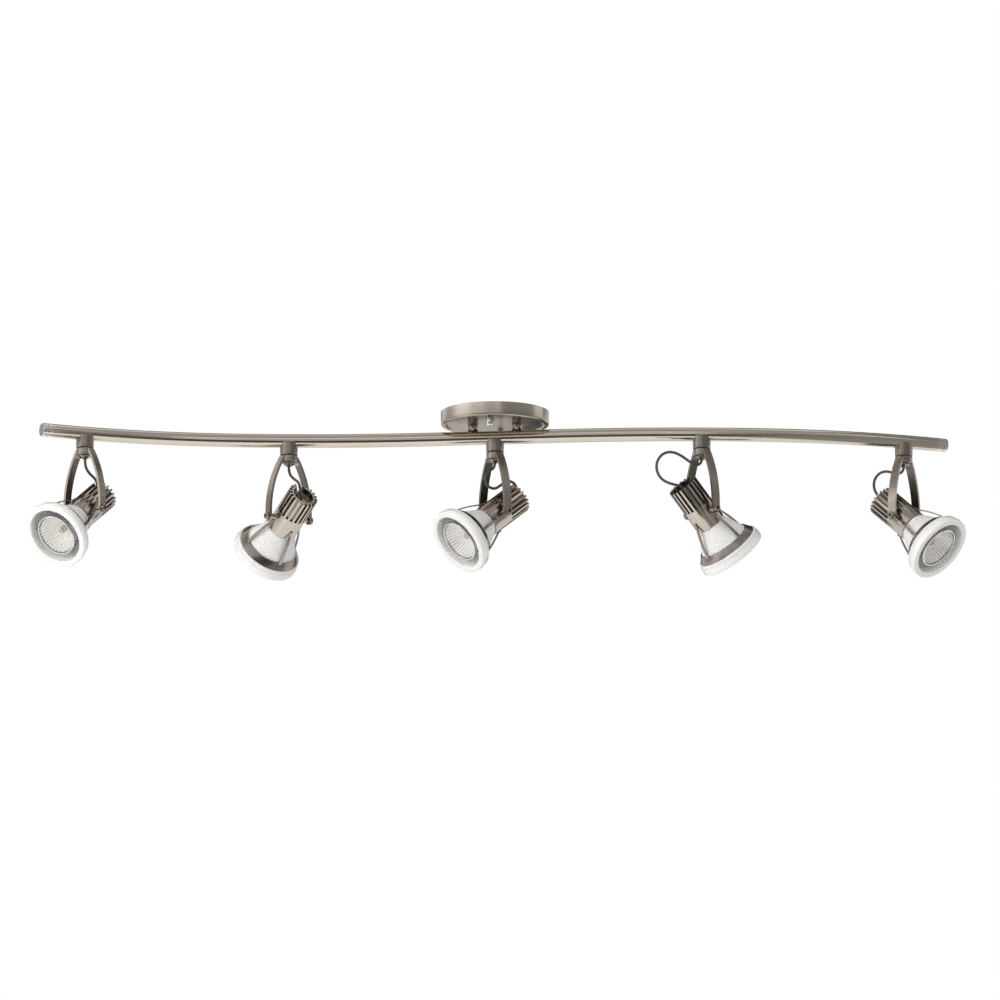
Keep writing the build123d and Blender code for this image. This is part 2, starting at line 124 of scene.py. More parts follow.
def pick(piece: Piece, height: float) -> None:
    """Select the vertices at one height.

    Args:
        piece: The piece, in edit mode, where it stays.
        height: The height in millimetres.
    """
    bpy.ops.mesh.select_mode(type="VERT")
    bpy.ops.mesh.select_all(action="DESELECT")
    bpy.ops.object.mode_set(mode="OBJECT")
    for vertex in piece.data.vertices:
        vertex.select = abs(vertex.co.z - height * MM) < TOUCH
    bpy.ops.object.mode_set(mode="EDIT")


def rounded(outline: Sequence[Point], radius: float, steps: int = 4) -> list[Point]:
    """Round the inner corners of an open outline.

    Args:
        outline: Corner points, in millimetres.
        radius: The wanted corner radius, which short sides make smaller.
        steps: Straight pieces in each rounded corner.

    Returns:
        The outline with an arc in place of each corner.
    """
    points = [Vector(corner) for corner in outline]
    result = [tuple(points[0])]
    for before, corner, after in zip(points, points[1:], points[2:]):
        back = before - corner
        ahead = after - corner
        turn = math.pi - back.angle(ahead)
        reach = radius * math.tan(turn / 2) if turn > LEAST_TURN else 0.0
        reach = min(reach, SIDE_SHARE * back.length, SIDE_SHARE * ahead.length)
        if reach < 1e-4:
            result.append(tuple(corner))
            continue
        first = corner + back.normalized() * reach
        last = corner + ahead.normalized() * reach
        for step in range(steps + 1):
            share = step / steps
            result.append(tuple(first.lerp(corner, share).lerp(corner.lerp(last, share), share)))
    result.append(tuple(points[-1]))
    return result


def rod(radius: float, low: float, top: float, bore: float = 0.0) -> list[Point]:
    """Corners of a rod's outline, from its bore round its outside and back."""
    return [(bore, low), (radius, low), (radius, top), (bore, top)]


def close_up(smooth: float = SMOOTH) -> None:
    """Merge doubles, turn normals outwards and shade the piece that is being edited.

    Args:
        smooth: Angle in degrees under which edges are shaded smooth.
    """
    bpy.ops.mesh.select_all(action="SELECT")
    bpy.ops.mesh.remove_doubles(threshold=MERGE)
    bpy.ops.mesh.normals_make_consistent(inside=False)
    bpy.ops.object.mode_set(mode="OBJECT")
    mesh = bpy.context.object.data
    if sum(face.area * face.center.dot(face.normal) for face in mesh.polygons) < 0:
        mesh.flip_normals()
    bpy.ops.object.shade_smooth_by_angle(angle=math.radians(smooth))


def smoothed(piece: Piece, angle: float = SMOOTH) -> Piece:
    """Shade edges that turn by less than an angle smooth.

    Args:
        piece: The piece.
        angle: The angle in degrees.

    Returns:
        The same piece.
    """
    take(piece)
    bpy.ops.object.shade_smooth_by_angle(angle=math.radians(angle))
    return piece


def turned(name: str, outline: Sequence[Point], steps: int = 96, smooth: float = SMOOTH) -> Piece:
    """Turn an outline about Z, as on a lathe.

    Args:
        name: Name of the piece.
        outline: Radius and height pairs in millimetres, from axis to axis or back to the first point.
        steps: Segments round the axis.
        smooth: Angle in degrees under which edges are shaded smooth.

    Returns:
        The closed piece, about the origin.
    """
    piece = started(name, bpy.ops.mesh.primitive_plane_add, size=MM)
    bpy.ops.object.mode_set(mode="EDIT")
    bpy.ops.mesh.select_mode(type="VERT")
    bpy.ops.mesh.select_all(action="SELECT")
    bpy.ops.mesh.merge(type="CENTER")
    start = outline[0]
    bpy.ops.transform.translate(value=(start[0] * MM, 0, start[1] * MM))
    for before, after in zip(outline, outline[1:]):
        step = ((after[0] - before[0]) * MM, 0, (after[1] - before[1]) * MM)
        bpy.ops.mesh.extrude_vertices_move(TRANSFORM_OT_translate={"value": step})
    bpy.ops.mesh.select_all(action="SELECT")
    bpy.ops.mesh.spin(steps=steps, angle=math.tau, center=(0, 0, 0), axis=(0, 0, 1))
    close_up(smooth)
    return piece


def swept(name: str, size: Point, route: Sequence[Place]) -> Piece:
    """Push a flat rectangle along a route, keeping it level.

    Args:
        name: Name of the piece.
        size: Width along X and along Y, in millimetres.
        route: Centre of the rectangle at each step, in millimetres.

    Returns:
        The closed bar.
    """
    piece = started(name, bpy.ops.mesh.primitive_plane_add, size=MM)
    bpy.ops.object.mode_set(mode="EDIT")
    bpy.ops.mesh.select_all(action="SELECT")
    bpy.ops.transform.resize(value=(size[0], size[1], 1))
    bpy.ops.transform.translate(value=Vector(route[0]) * MM)
    for before, after in zip(route, route[1:]):
        step = (Vector(after) - Vector(before)) * MM
        bpy.ops.mesh.extrude_region_move(TRANSFORM_OT_translate={"value": step})
    close_up()
    return piece


def block(name: str, size: Place, centre: Place) -> Piece:
    """Stretch a cube to a block, for cutting with.

    Args:
        name: Name of the piece.
        size: Full sizes in millimetres.
        centre: Its middle in millimetres.

    Returns:
        The block, with its place in its mesh.
    """
    piece = started(name, bpy.ops.mesh.primitive_cube_add, size=MM)
    bpy.ops.object.mode_set(mode="EDIT")
    bpy.ops.transform.resize(value=size)
    bpy.ops.transform.translate(value=Vector(centre) * MM)
    bpy.ops.object.mode_set(mode="OBJECT")
    return piece


def apply_modifier(piece: Piece, kind: str, **settings) -> None:
    """Add one modifier to a piece and apply it.

    Args:
        piece: The piece that is changed.
        kind: Blender's modifier type.
        **settings: Values set on the modifier.
    """
    take(piece)
    modifier = piece.modifiers.new(kind.lower(), kind)
    for key, value in settings.items():
        setattr(modifier, key, value)
    bpy.ops.object.modifier_apply(modifier=modifier.name)


def soften(piece: Piece, width: float, corner: float = SHARP) -> None:
    """Break the sharp edges of a piece with a small rounded bevel.

    Args:
        piece: The piece that is changed.
        width: Bevel width in millimetres.
        corner: Edges that turn by more than this many degrees are bevelled.
    """
    apply_modifier(piece, "BEVEL", width=width * MM, segments=2, limit_method="ANGLE",
                   angle_limit=math.radians(corner), use_clamp_overlap=True)
    smoothed(piece, corner)


def cut(piece: Piece, tool: Piece) -> None:
    """Cut a tool's shape out of a piece and throw the tool away."""
    apply_modifier(piece, "BOOLEAN", operation="DIFFERENCE", object=tool, solver="EXACT")
    bpy.data.objects.remove(tool)


def saddled(piece: Piece, radius: float, height: float = 0.0) -> None:
    """Cut the bar's round seat out of a piece.

    Args:
        piece: The piece that is changed.
        radius: Radius of the seat in millimetres.
        height: Height of the bar's axis in the piece's frame, in millimetres.
    """
    tool = turned("saddle", rod(radius, -SADDLE_REACH, SADDLE_REACH))
    tool.data.transform(Matrix.Translation((0, 0, height * MM)) @ Matrix.Rotation(QUARTER, 4, "Y"))
    cut(piece, tool)


def joined(name: str, pieces: Sequence[Piece]) -> Piece:
    """Join pieces into one object.

    Args:
        name: Name of the result.
        pieces: The pieces, which are used up.

    Returns:
        The joined piece.
    """
    blank_selection()
    for piece in pieces:
        piece.select_set(True)
    bpy.context.view_layer.objects.active = pieces[0]
    bpy.ops.object.join()
    pieces[0].name = name
    return pieces[0]


def copied(piece: Piece, name: str, place: Matrix) -> Piece:
    """Copy a piece with a mesh of its own, moved by a matrix.

    Args:
        piece: The piece to copy.
        name: Name of the copy.
        place: The move, in metres.

    Returns:
        The copy, whose object sits at the origin.
    """
    twin = piece.copy()
    twin.data = piece.data.copy()
    twin.name = name
    twin.data.name = name
    twin.data.transform(place)
    bpy.context.scene.collection.objects.link(twin)
    return twin


def gathered(piece: Piece, name: str, places: Iterable[Matrix]) -> Piece:
    """Copy a piece to several places and join the copies.

    Args:
        piece: The piece, which is used up.
        name: Name of the result.
        places: The moves, in metres.

    Returns:
        The joined copies.
    """
    copies = [copied(piece, piece.name, place) for place in places]
    bpy.data.objects.remove(piece)
    return joined(name, copies)


def ringed(piece: Piece, count: int) -> Piece:
    """Repeat a piece evenly round Z and join the copies.

    Args:
        piece: The piece, which is used up.
        count: How many there are in all.

    Returns:
        The joined ring of copies.
    """
    turns = [Matrix.Rotation(math.tau * number / count, 4, "Z") for number in range(1, count)]
    copies = [copied(piece, piece.name, turn) for turn in turns]
    return joined(piece.name, [piece, *copies])


def both_sides(out: float = 0.0) -> list[Matrix]:
    """Turns of Z to the two ends of the pivot, after a move along Z in millimetres."""
    move = Matrix.Translation((0, 0, out * MM))
    return [Matrix.Rotation(turn, 4, "X") @ move for turn in (QUARTER, -QUARTER)]


def keep_own(piece: Piece, unroll: Callable[[Vector], Vector] | None = None) -> Piece:
    """Keep each vertex's own coordinates, in metres, for the finish to follow.

    Args:
        piece: The piece, still in its own frame.
        unroll: Turns a place into coordinates along and across a bent piece, where it is bent.

    Returns:
        The same piece.
    """
    own = piece.data.attributes.new("own", "FLOAT_VECTOR", "POINT")
    for vertex, value in zip(piece.data.vertices, own.data):
        value.vector = unroll(vertex.co) if unroll else vertex.co
    return piece


def shaded(piece: Piece, inside: Callable[[Vector, Vector], bool]) -> Piece:
    """Mark faces in slots, sockets, bores and on inner sides, which the finishes paint darker as painted shade.

    Args:
        piece: The piece, still in its own frame.
        inside: Tells from a face's middle and normal, in metres, whether it is one of them.

    Returns:
        The same piece.
    """
    # painted shade: faces marked here are painted darker by the metal finishes
    mark = piece.data.attributes.new("inside", "FLOAT", "FACE")
    for face, value in zip(piece.data.polygons, mark.data):
        value.value = 1.0 if inside(face.center, face.normal) else 0.0
    return piece


def paint(piece: Piece, material: Material) -> None:
    """Give a piece one material all over."""
    piece.data.materials.clear()
    piece.data.materials.append(material)


def settle(piece: Piece, material: Material, body: str, nodes: Sequence[str] = ()) -> None:
    """Dress a finished piece and let it ride on a body in place of its solids.

    Args:
        piece: The finished piece.
        material: Its material.
        body: Body that it moves with.
        nodes: Solids that it stands for.
    """
    paint(piece, material)
    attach(piece, body)
    if nodes:
        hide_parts(*nodes)
    LOG.info("%s rides on %s", piece.name, body)


def dimmed(colour: Colour, share: float) -> Colour:
    """A colour made darker, or brighter up to white."""
    return tuple(min(1.0, part * share) for part in colour)


class Shader:
    """A material's node tree while it is written."""

    def __init__(self, name: str) -> None:
        """Start a material with a principled surface.

        Args:
            name: Name of the material.
        """
        self.material = bpy.data.materials.new(name)
        self.material.use_nodes = True
        self.tree = self.material.node_tree
        self.surface = self.tree.nodes["Principled BSDF"]

    def node(self, kind: str, sockets: dict[str | int, object] | None = None, **settings) -> bpy.types.Node:
        """Add a node.

        Args:
            kind: Node type without its ShaderNode prefix.
            sockets: Values of its input sockets; an output socket there is linked.
            **settings: Values set on the node.

        Returns:
            The new node.
        """
        made = self.tree.nodes.new(f"ShaderNode{kind}")
        for key, value in settings.items():
            setattr(made, key, value)
        for key, value in (sockets or {}).items():
            self.put(made, key, value)
        return made

    def put(self, node: bpy.types.Node, key: str | int, value: object) -> None:
        """Set or link one input socket of a node.

        Args:
            node: The node.
            key: Name or number of the socket.
            value: Its value, or an output socket to link.
        """
        if isinstance(value, Socket):
            self.tree.links.new(value, node.inputs[key])
        else:
            node.inputs[key].default_value = value

    def set(self, **sockets) -> None:
        """Set or link sockets of the surface, named with underscores for spaces."""
        for key, value in sockets.items():
            self.put(self.surface, key.replace("_", " "), value)

    def own(self) -> Socket:
        """The piece's own coordinates."""
        return self.node("Attribute", attribute_name="own").outputs["Vector"]

    def unpolished(self) -> Socket:
        """One on the faces marked for painted shade, and nothing elsewhere."""
        return self.node("Attribute", attribute_name="inside").outputs["Fac"]

    def place(self) -> Socket:
        """The object's coordinates, for pieces whose mesh comes from the frame."""
        return self.node("TexCoord").outputs["Object"]

    def maths(self, operation: str, *values: object) -> Socket:
        """The outcome of a sum on one or two values."""
        return self.node("Math", dict(enumerate(values)), operation=operation).outputs[0]

    def split(self, vector: Socket) -> bpy.types.NodeOutputs:
        """The X, Y and Z of a vector."""
        return self.node("SeparateXYZ", {0: vector}).outputs

    def reach(self, parts: bpy.types.NodeOutputs) -> Socket:
        """Distance from the Z axis of coordinates that are split."""
        flat = self.node("CombineXYZ", {0: parts["X"], 1: parts["Y"]}).outputs[0]
        return self.node("VectorMath", {0: flat}, operation="LENGTH").outputs["Value"]

    def scaled(self, vector: Socket, scale: Place) -> Socket:
        """A vector stretched along each axis."""
        return self.node("VectorMath", {0: vector, 1: scale}, operation="MULTIPLY").outputs["Vector"]

    def noise(self, vector: Socket, scale: float, detail: float = 3.0, roughness: float = 0.55) -> Socket:
        """A soft noise between 0 and 1."""
        sockets = {"Vector": vector, "Scale": scale, "Detail": detail, "Roughness": roughness}
        return self.node("TexNoise", sockets).outputs[0]

    def ranged(self, value: Socket, start: Point = UNIT, end: Point = UNIT) -> Socket:
        """A value carried from one range to another and held there."""
        sockets = {"Value": value, "From Min": start[0], "From Max": start[1],
                   "To Min": end[0], "To Max": end[1]}
        return self.node("MapRange", sockets).outputs[0]

    def mixed(self, share: object, first: object, second: object) -> Socket:
        """Mix two colours.

        Args:
            share: How much of the second there is.
            first: A colour or a socket.
            second: A colour or a socket.

        Returns:
            The colour between them.
        """
        made = self.node("Mix", {0: share}, data_type="RGBA")
        for key, colour in ((6, first), (7, second)):
            self.put(made, key, (*colour, 1) if isinstance(colour, tuple) else colour)
        return made.outputs[2]

    def bumped(self, height: Socket, strength: float, depth: float) -> None:
        """Raise the surface a little by a height, in metres at full strength."""
        made = self.node("Bump", {"Height": height, "Strength": strength, "Distance": depth})
        self.set(Normal=made.outputs[0])


class Brushing(Enum):
    """Which way the brushed lines of a metal piece run, as line counts per metre along its own axes."""

    ROUND = (14.0, 14.0, 700.0)
    ALONG_Z = (700.0, 700.0, 14.0)
    ALONG_X = (9.0, 700.0, 700.0)


@dataclass(frozen=True)
class Finish:
    """What every finish has: a name, and nodes that it writes into its material."""

    name: str

    def material(self) -> Material:
        """Write the finish as a material.

        Returns:
            The material.
        """
        shader = Shader(self.name)
        self.write(shader)
        return shader.material

    def write(self, shader: Shader) -> None:
        """Write the finish's nodes."""
        raise NotImplementedError


@dataclass(frozen=True)
class BrushedMetal(Finish):
    """A plated metal with brushed lines, smudges, edges lightened as wear and painted highlight, and painted
    shade.
    """

    tone: Colour
    shade: Colour
    brushing: Brushing
    gloss: Point
    grain: float = 0.16
    # how much lighter sharp edges are: partly wear, partly painted highlight
    worn: float = 1.6
    # how dark the marked faces are: painted shade
    unpolished: float = 0.68

    def write(self, shader: Shader) -> None:
        """Write the finish's nodes.

        Args:
            shader: The material's tree.
        """
        own = shader.own()
        lines = shader.noise(shader.scaled(own, self.brushing.value), 1.0, 6.0, 0.72)
        smudge = shader.noise(own, 55.0, 2.0)
        # sharp edges lightened: partly wear, partly painted highlight
        edge = shader.ranged(shader.node("NewGeometry").outputs["Pointiness"], (0.515, 0.57), (0.0, 0.55))
        brushed = shader.mixed(shader.ranged(lines, (0.36, 0.64)), self.shade, self.tone)
        colour = shader.mixed(edge, brushed, dimmed(self.tone, self.worn))
        spread = shader.ranged(lines, NOISE_SPAN, self.gloss)
        shift = shader.ranged(smudge, NOISE_SPAN, (-0.035, 0.035))
        # painted shade: marked faces in slots, sockets and on inner sides are darkened
        shader.set(Base_Color=shader.mixed(shader.unpolished(), colour, dimmed(self.shade, self.unpolished)),
                   Metallic=1.0, Roughness=shader.maths("ADD", spread, shift))
        shader.bumped(lines, self.grain, 0.00008)


@dataclass(frozen=True)
class PolishedMetal(Finish):
    """Bright plate with hardly any lines, dulled here and there by fingers, and painted shade on marked faces.
    """

    tone: Colour
    gloss: Point
    fingered: float = 0.86
    # how dark the marked faces are: painted shade
    unpolished: float = 0.12

    def write(self, shader: Shader) -> None:
        """Write the finish's nodes.

        Args:
            shader: The material's tree.
        """
        own = shader.own()
        smudge = shader.noise(own, 160.0, 4.0)
        colour = shader.mixed(smudge, dimmed(self.tone, self.fingered), self.tone)
        # painted shade: marked screw sockets and bush bores are darkened
        shader.set(Base_Color=shader.mixed(shader.unpolished(), colour, dimmed(self.tone, self.unpolished)),
                   Metallic=1.0, Roughness=shader.ranged(smudge, NOISE_SPAN, self.gloss))
        shader.bumped(shader.noise(own, 900.0, 2.0), 0.05, 0.00005)


@dataclass(frozen=True)
class ZincPlate(Finish):
    """Thin zinc plate with a cool, cloudy sheen."""

    tone: Colour
    warm: Colour

    def write(self, shader: Shader) -> None:
        """Write the finish's nodes.

        Args:
            shader: The material's tree.
        """
        place = shader.place()
        cloud = shader.noise(place, 120.0, 4.0)
        shader.set(Base_Color=shader.mixed(shader.ranged(cloud, (0.35, 0.65)), self.tone, self.warm),
                   Metallic=1.0, Roughness=shader.ranged(cloud, NOISE_SPAN, (0.26, 0.44)))
        shader.bumped(shader.noise(place, 2400.0, 2.0), 0.08, 0.00005)


@dataclass(frozen=True)
class MattSolid(Finish):
    """An unpolished solid such as nylon or ceramic, with a fine grain and a little mottling."""

    tone: Colour
    mottle: Colour
    roughness: Point

    def write(self, shader: Shader) -> None:
        """Write the finish's nodes.

        Args:
            shader: The material's tree.
        """
        place = shader.place()
        cloud = shader.noise(place, 240.0, 4.0)
        shader.set(Base_Color=shader.mixed(cloud, self.tone, self.mottle),
                   Roughness=shader.ranged(cloud, NOISE_SPAN, self.roughness))
        shader.bumped(shader.noise(place, 3200.0, 2.0), 0.12, 0.00006)


@dataclass(frozen=True)
class ConeGlass(Finish):
    """Pressed milky glass with painted shade in faint rings, and a clearer lip; pairs hold the lip's value,
    then the cone's.
    """

    tint: Colour
    roughness: Point
    clear: Point
    lip: Point
    milk: float = 0.85
    glow_depth: float = 0.004
    ring_pitch: float = 0.0026
    # how dark the painted shade along the rings is
    ring_tone: float = 0.74
    ring_share: Point = (0.4, 0.9)
    ring_height: Point = (0.1, 0.4)

    def write(self, shader: Shader) -> None:
        """Write the finish's nodes.

        Args:
            shader: The material's tree.
        """
        own = shader.own()
        parts = shader.split(own)
        frost = shader.ranged(parts["Z"], self.lip)
        cloud = shader.ranged(shader.noise(own, 700.0), NOISE_SPAN, (0.92, 1.08))
        rough = shader.maths("MULTIPLY", shader.ranged(frost, UNIT, self.roughness), cloud)
        slant = shader.maths("SUBTRACT", shader.reach(parts), shader.maths("MULTIPLY", parts["Z"], frost))
        wave = shader.maths("SINE", shader.maths("MULTIPLY", slant, math.tau / self.ring_pitch))
        groove = shader.maths("MULTIPLY", shader.ranged(wave), shader.ranged(frost, UNIT, self.ring_share))
        # painted shade: the glass is painted darker in bands along its pressed rings
        shader.set(Base_Color=shader.mixed(groove, self.tint, dimmed(self.tint, self.ring_tone)),
                   Roughness=rough, IOR=1.45, Subsurface_Weight=self.milk, Subsurface_Radius=(1.0, 1.0, 1.0),
                   Subsurface_Scale=self.glow_depth, Transmission_Weight=shader.ranged(frost, UNIT, self.clear))
        height = shader.maths("MULTIPLY", wave, shader.ranged(frost, UNIT, self.ring_height))
        shader.bumped(height, 0.35, 0.00025)


@dataclass(frozen=True)
class ClearGlass(Finish):
    """Thin clear glass with faint ripples."""

    tint: Colour
    roughness: float
    body: float

    def write(self, shader: Shader) -> None:
        """Write the finish's nodes."""
        shader.set(Base_Color=(*self.tint, 1), Roughness=self.roughness, IOR=1.45, Alpha=self.body)
        shader.bumped(shader.noise(shader.own(), 320.0, 2.0), 0.02, 0.0001)


@dataclass(frozen=True)
class MirrorCoat(Finish):
    """A thin mirror coat on glass, with a faint drift of colour from pale gold to cool grey and painted shade
    along its flutes.
    """

    warm: Colour
    cool: Colour
    gloss: Point
    mirror: float = 1.0
    flutes: int = 0
    # colour of the painted shade along the flutes
    groove: Colour = (0.2, 0.18, 0.15)

    def write(self, shader: Shader) -> None:
        """Write the finish's nodes.

        Args:
            shader: The material's tree.
        """
        own = shader.own()
        drift = shader.ranged(shader.noise(own, 70.0, 2.0), (0.35, 0.65))
        haze = shader.noise(own, 420.0)
        colour = shader.mixed(drift, self.warm, self.cool)
        # painted shade: dark lines along the flutes, stronger away from the middle
        if self.flutes:
            parts = shader.split(own)
            phase = shader.maths("MULTIPLY", shader.maths("ARCTAN2", parts["Y"], parts["X"]), self.flutes)
            line = shader.ranged(shader.maths("COSINE", phase), (0.55, 0.98))
            depth = shader.ranged(shader.reach(parts), (0.009, 0.02), (0.0, 0.75))
            colour = shader.mixed(shader.maths("MULTIPLY", line, depth), colour, self.groove)
        shader.set(Base_Color=colour, Metallic=self.mirror,
                   Roughness=shader.ranged(haze, NOISE_SPAN, self.gloss))
        shader.bumped(shader.noise(own, 900.0, 2.0), 0.03, 0.00005)


@dataclass(frozen=True)
class SleeveWeave(Finish):
    """A dull woven sleeve, whose threads cross in two directions round the lead."""

    tone: Colour
    thread: Colour
    threads_round: float = 9.0
    pitch: float = 0.0022

    def write(self, shader: Shader) -> None:
        """Write the finish's nodes: U runs round the lead, and V along it in metres.

        Args:
            shader: The material's tree.
        """
        parts = shader.split(shader.node("UVMap", uv_map="lead").outputs["UV"])
        turn = shader.maths("MULTIPLY", parts["X"], math.tau * self.threads_round)
        climb = shader.maths("MULTIPLY", parts["Y"], math.tau / self.pitch)
        waves = [shader.maths("SINE", shader.maths(cross, turn, climb)) for cross in ("ADD", "SUBTRACT")]
        weave = shader.maths("MAXIMUM", *waves)
        share = shader.ranged(weave, (-0.2, 1.0))
        shader.set(Base_Color=shader.mixed(share, self.tone, self.thread),
                   Roughness=shader.ranged(weave, (-0.2, 1.0), (0.55, 0.36)))
        shader.bumped(share, 0.35, 0.00012)


FINISHES: tuple[Finish, ...] = (
    BrushedMetal("turned_nickel", (0.43, 0.375, 0.325), (0.31, 0.268, 0.23), Brushing.ROUND, (0.2, 0.32)),
    # a darker copy of the turned nickel for collars and posts: painted shade under the bar
    BrushedMetal("collar_nickel_painted_shade", (0.3, 0.265, 0.23), (0.19, 0.168, 0.145), Brushing.ROUND, (0.24, 0.38)),
    # a darker copy of the nickel for the yokes: painted shade
    BrushedMetal("flat_nickel_painted_shade", (0.34, 0.3, 0.262), (0.235, 0.208, 0.18), Brushing.ALONG_Z, (0.22, 0.34)),
    BrushedMetal("bar_nickel", (0.57, 0.508, 0.435), (0.47, 0.418, 0.353), Brushing.ALONG_X, (0.13, 0.2), 0.06),
    BrushedMetal("cast_nickel", (0.47, 0.42, 0.365), (0.33, 0.29, 0.25), Brushing.ALONG_Z, (0.14, 0.26)),
    BrushedMetal("guard_nickel", (0.32, 0.285, 0.25), (0.22, 0.195, 0.17), Brushing.ROUND, (0.2, 0.32)),
    PolishedMetal("dark_nickel", (0.32, 0.285, 0.25), (0.16, 0.3)),
    PolishedMetal("polished_nickel", (0.66, 0.635, 0.6), (0.06, 0.16)),
    ZincPlate("zinc_plate", (0.55, 0.57, 0.6), (0.62, 0.6, 0.52)),
    MattSolid("black_nylon", (0.012, 0.012, 0.013), (0.022, 0.021, 0.02), (0.5, 0.66)),
    MattSolid("ceramic", (0.74, 0.71, 0.64), (0.66, 0.63, 0.57), (0.6, 0.8)),
    ConeGlass("frosted_glass", (0.93, 0.917, 0.895), (0.2, 0.45), (0.1, 0.05), (-0.0535, -0.0515)),
    ClearGlass("lens_glass", (0.97, 0.98, 0.98), 0.04, 0.05),
    MirrorCoat("dish_mirror", (0.97, 0.94, 0.87), (0.94, 0.945, 0.95), (0.42, 0.5), 0.5, 36),
    MirrorCoat("shell_mirror", (0.62, 0.6, 0.57), (0.66, 0.67, 0.68), (0.22, 0.34)),
    ClearGlass("capsule_glass", (0.42, 0.27, 0.15), 0.1, 0.4),
    PolishedMetal("filament", (0.36, 0.22, 0.12), (0.25, 0.4)),
    SleeveWeave("lead_sleeve", (0.035, 0.035, 0.037), (0.085, 0.083, 0.08)),
)


@dataclass(frozen=True)
class WavePath:
    """The bar's centre line: straight in the middle, then two tangent arcs each way, in millimetres."""

    height: float = -30.5
    straight: float = 60.0
    inner_radius: float = 1130.0
    inner_length: float = 245.0
    outer_radius: float = 620.0
    outer_length: float = 229.0

    @property
    def inner_turn(self) -> float:
        """Angle of the inner arc in radians."""
        return self.inner_length / self.inner_radius

    @property
    def outer_turn(self) -> float:
        """Angle of the outer arc in radians."""
        return self.outer_length / self.outer_radius

    @property
    def inner_centre(self) -> Vector:
        """Centre of the right-hand inner arc."""
        return Vector((self.straight, self.inner_radius))

    @property
    def outer_centre(self) -> Vector:
        """Centre of the right-hand outer arc."""
        towards = Vector((-math.sin(self.inner_turn), math.cos(self.inner_turn)))
        return self.inner_centre - towards * (self.inner_radius - self.outer_radius)

    def unrolled(self, place: Vector) -> Vector:
        """Coordinates along and across the bar of a place near it.

        Args:
            place: A place in metres.

        Returns:
            Distance along the bar, offset to its side and height, in metres.
        """
        side = 1.0 if place.x >= 0 else -1.0
        flat = Vector((place.x, place.y)) * side / MM
        if flat.x <= self.straight:
            along, across = flat.x, flat.y
        else:
            out = flat - self.inner_centre
            turn = math.atan2(out.x, -out.y)
            along, across = self.straight + turn * self.inner_radius, self.inner_radius - out.length
            if turn > self.inner_turn:
                out = flat - self.outer_centre
                turn = math.atan2(out.x, -out.y)
                along = self.straight + self.inner_length + (turn - self.inner_turn) * self.outer_radius
                across = self.outer_radius - out.length
        return Vector((side * along * MM, side * across * MM, place.z))

    def heading(self, place: Vector) -> float:
        """Direction of the bar beside a place.

        Args:
            place: The place in metres.

        Returns:
            The angle from X in radians.
        """
        along = abs(self.unrolled(place).x) / MM - self.straight
        turn = min(max(along, 0.0), self.inner_length) / self.inner_radius
        return turn + max(0.0, along - self.inner_length) / self.outer_radius

    def end(self) -> tuple[Vector, float]:
        """The right-hand end.

        Returns:
            The end of the centre line in metres, and the bar's direction there in radians.
        """
        turn = self.inner_turn + self.outer_turn
        flat = self.outer_centre + Vector((math.sin(turn), -math.cos(turn))) * self.outer_radius
        return Vector((flat.x, flat.y, self.height)) * MM, turn


PATH = WavePath()


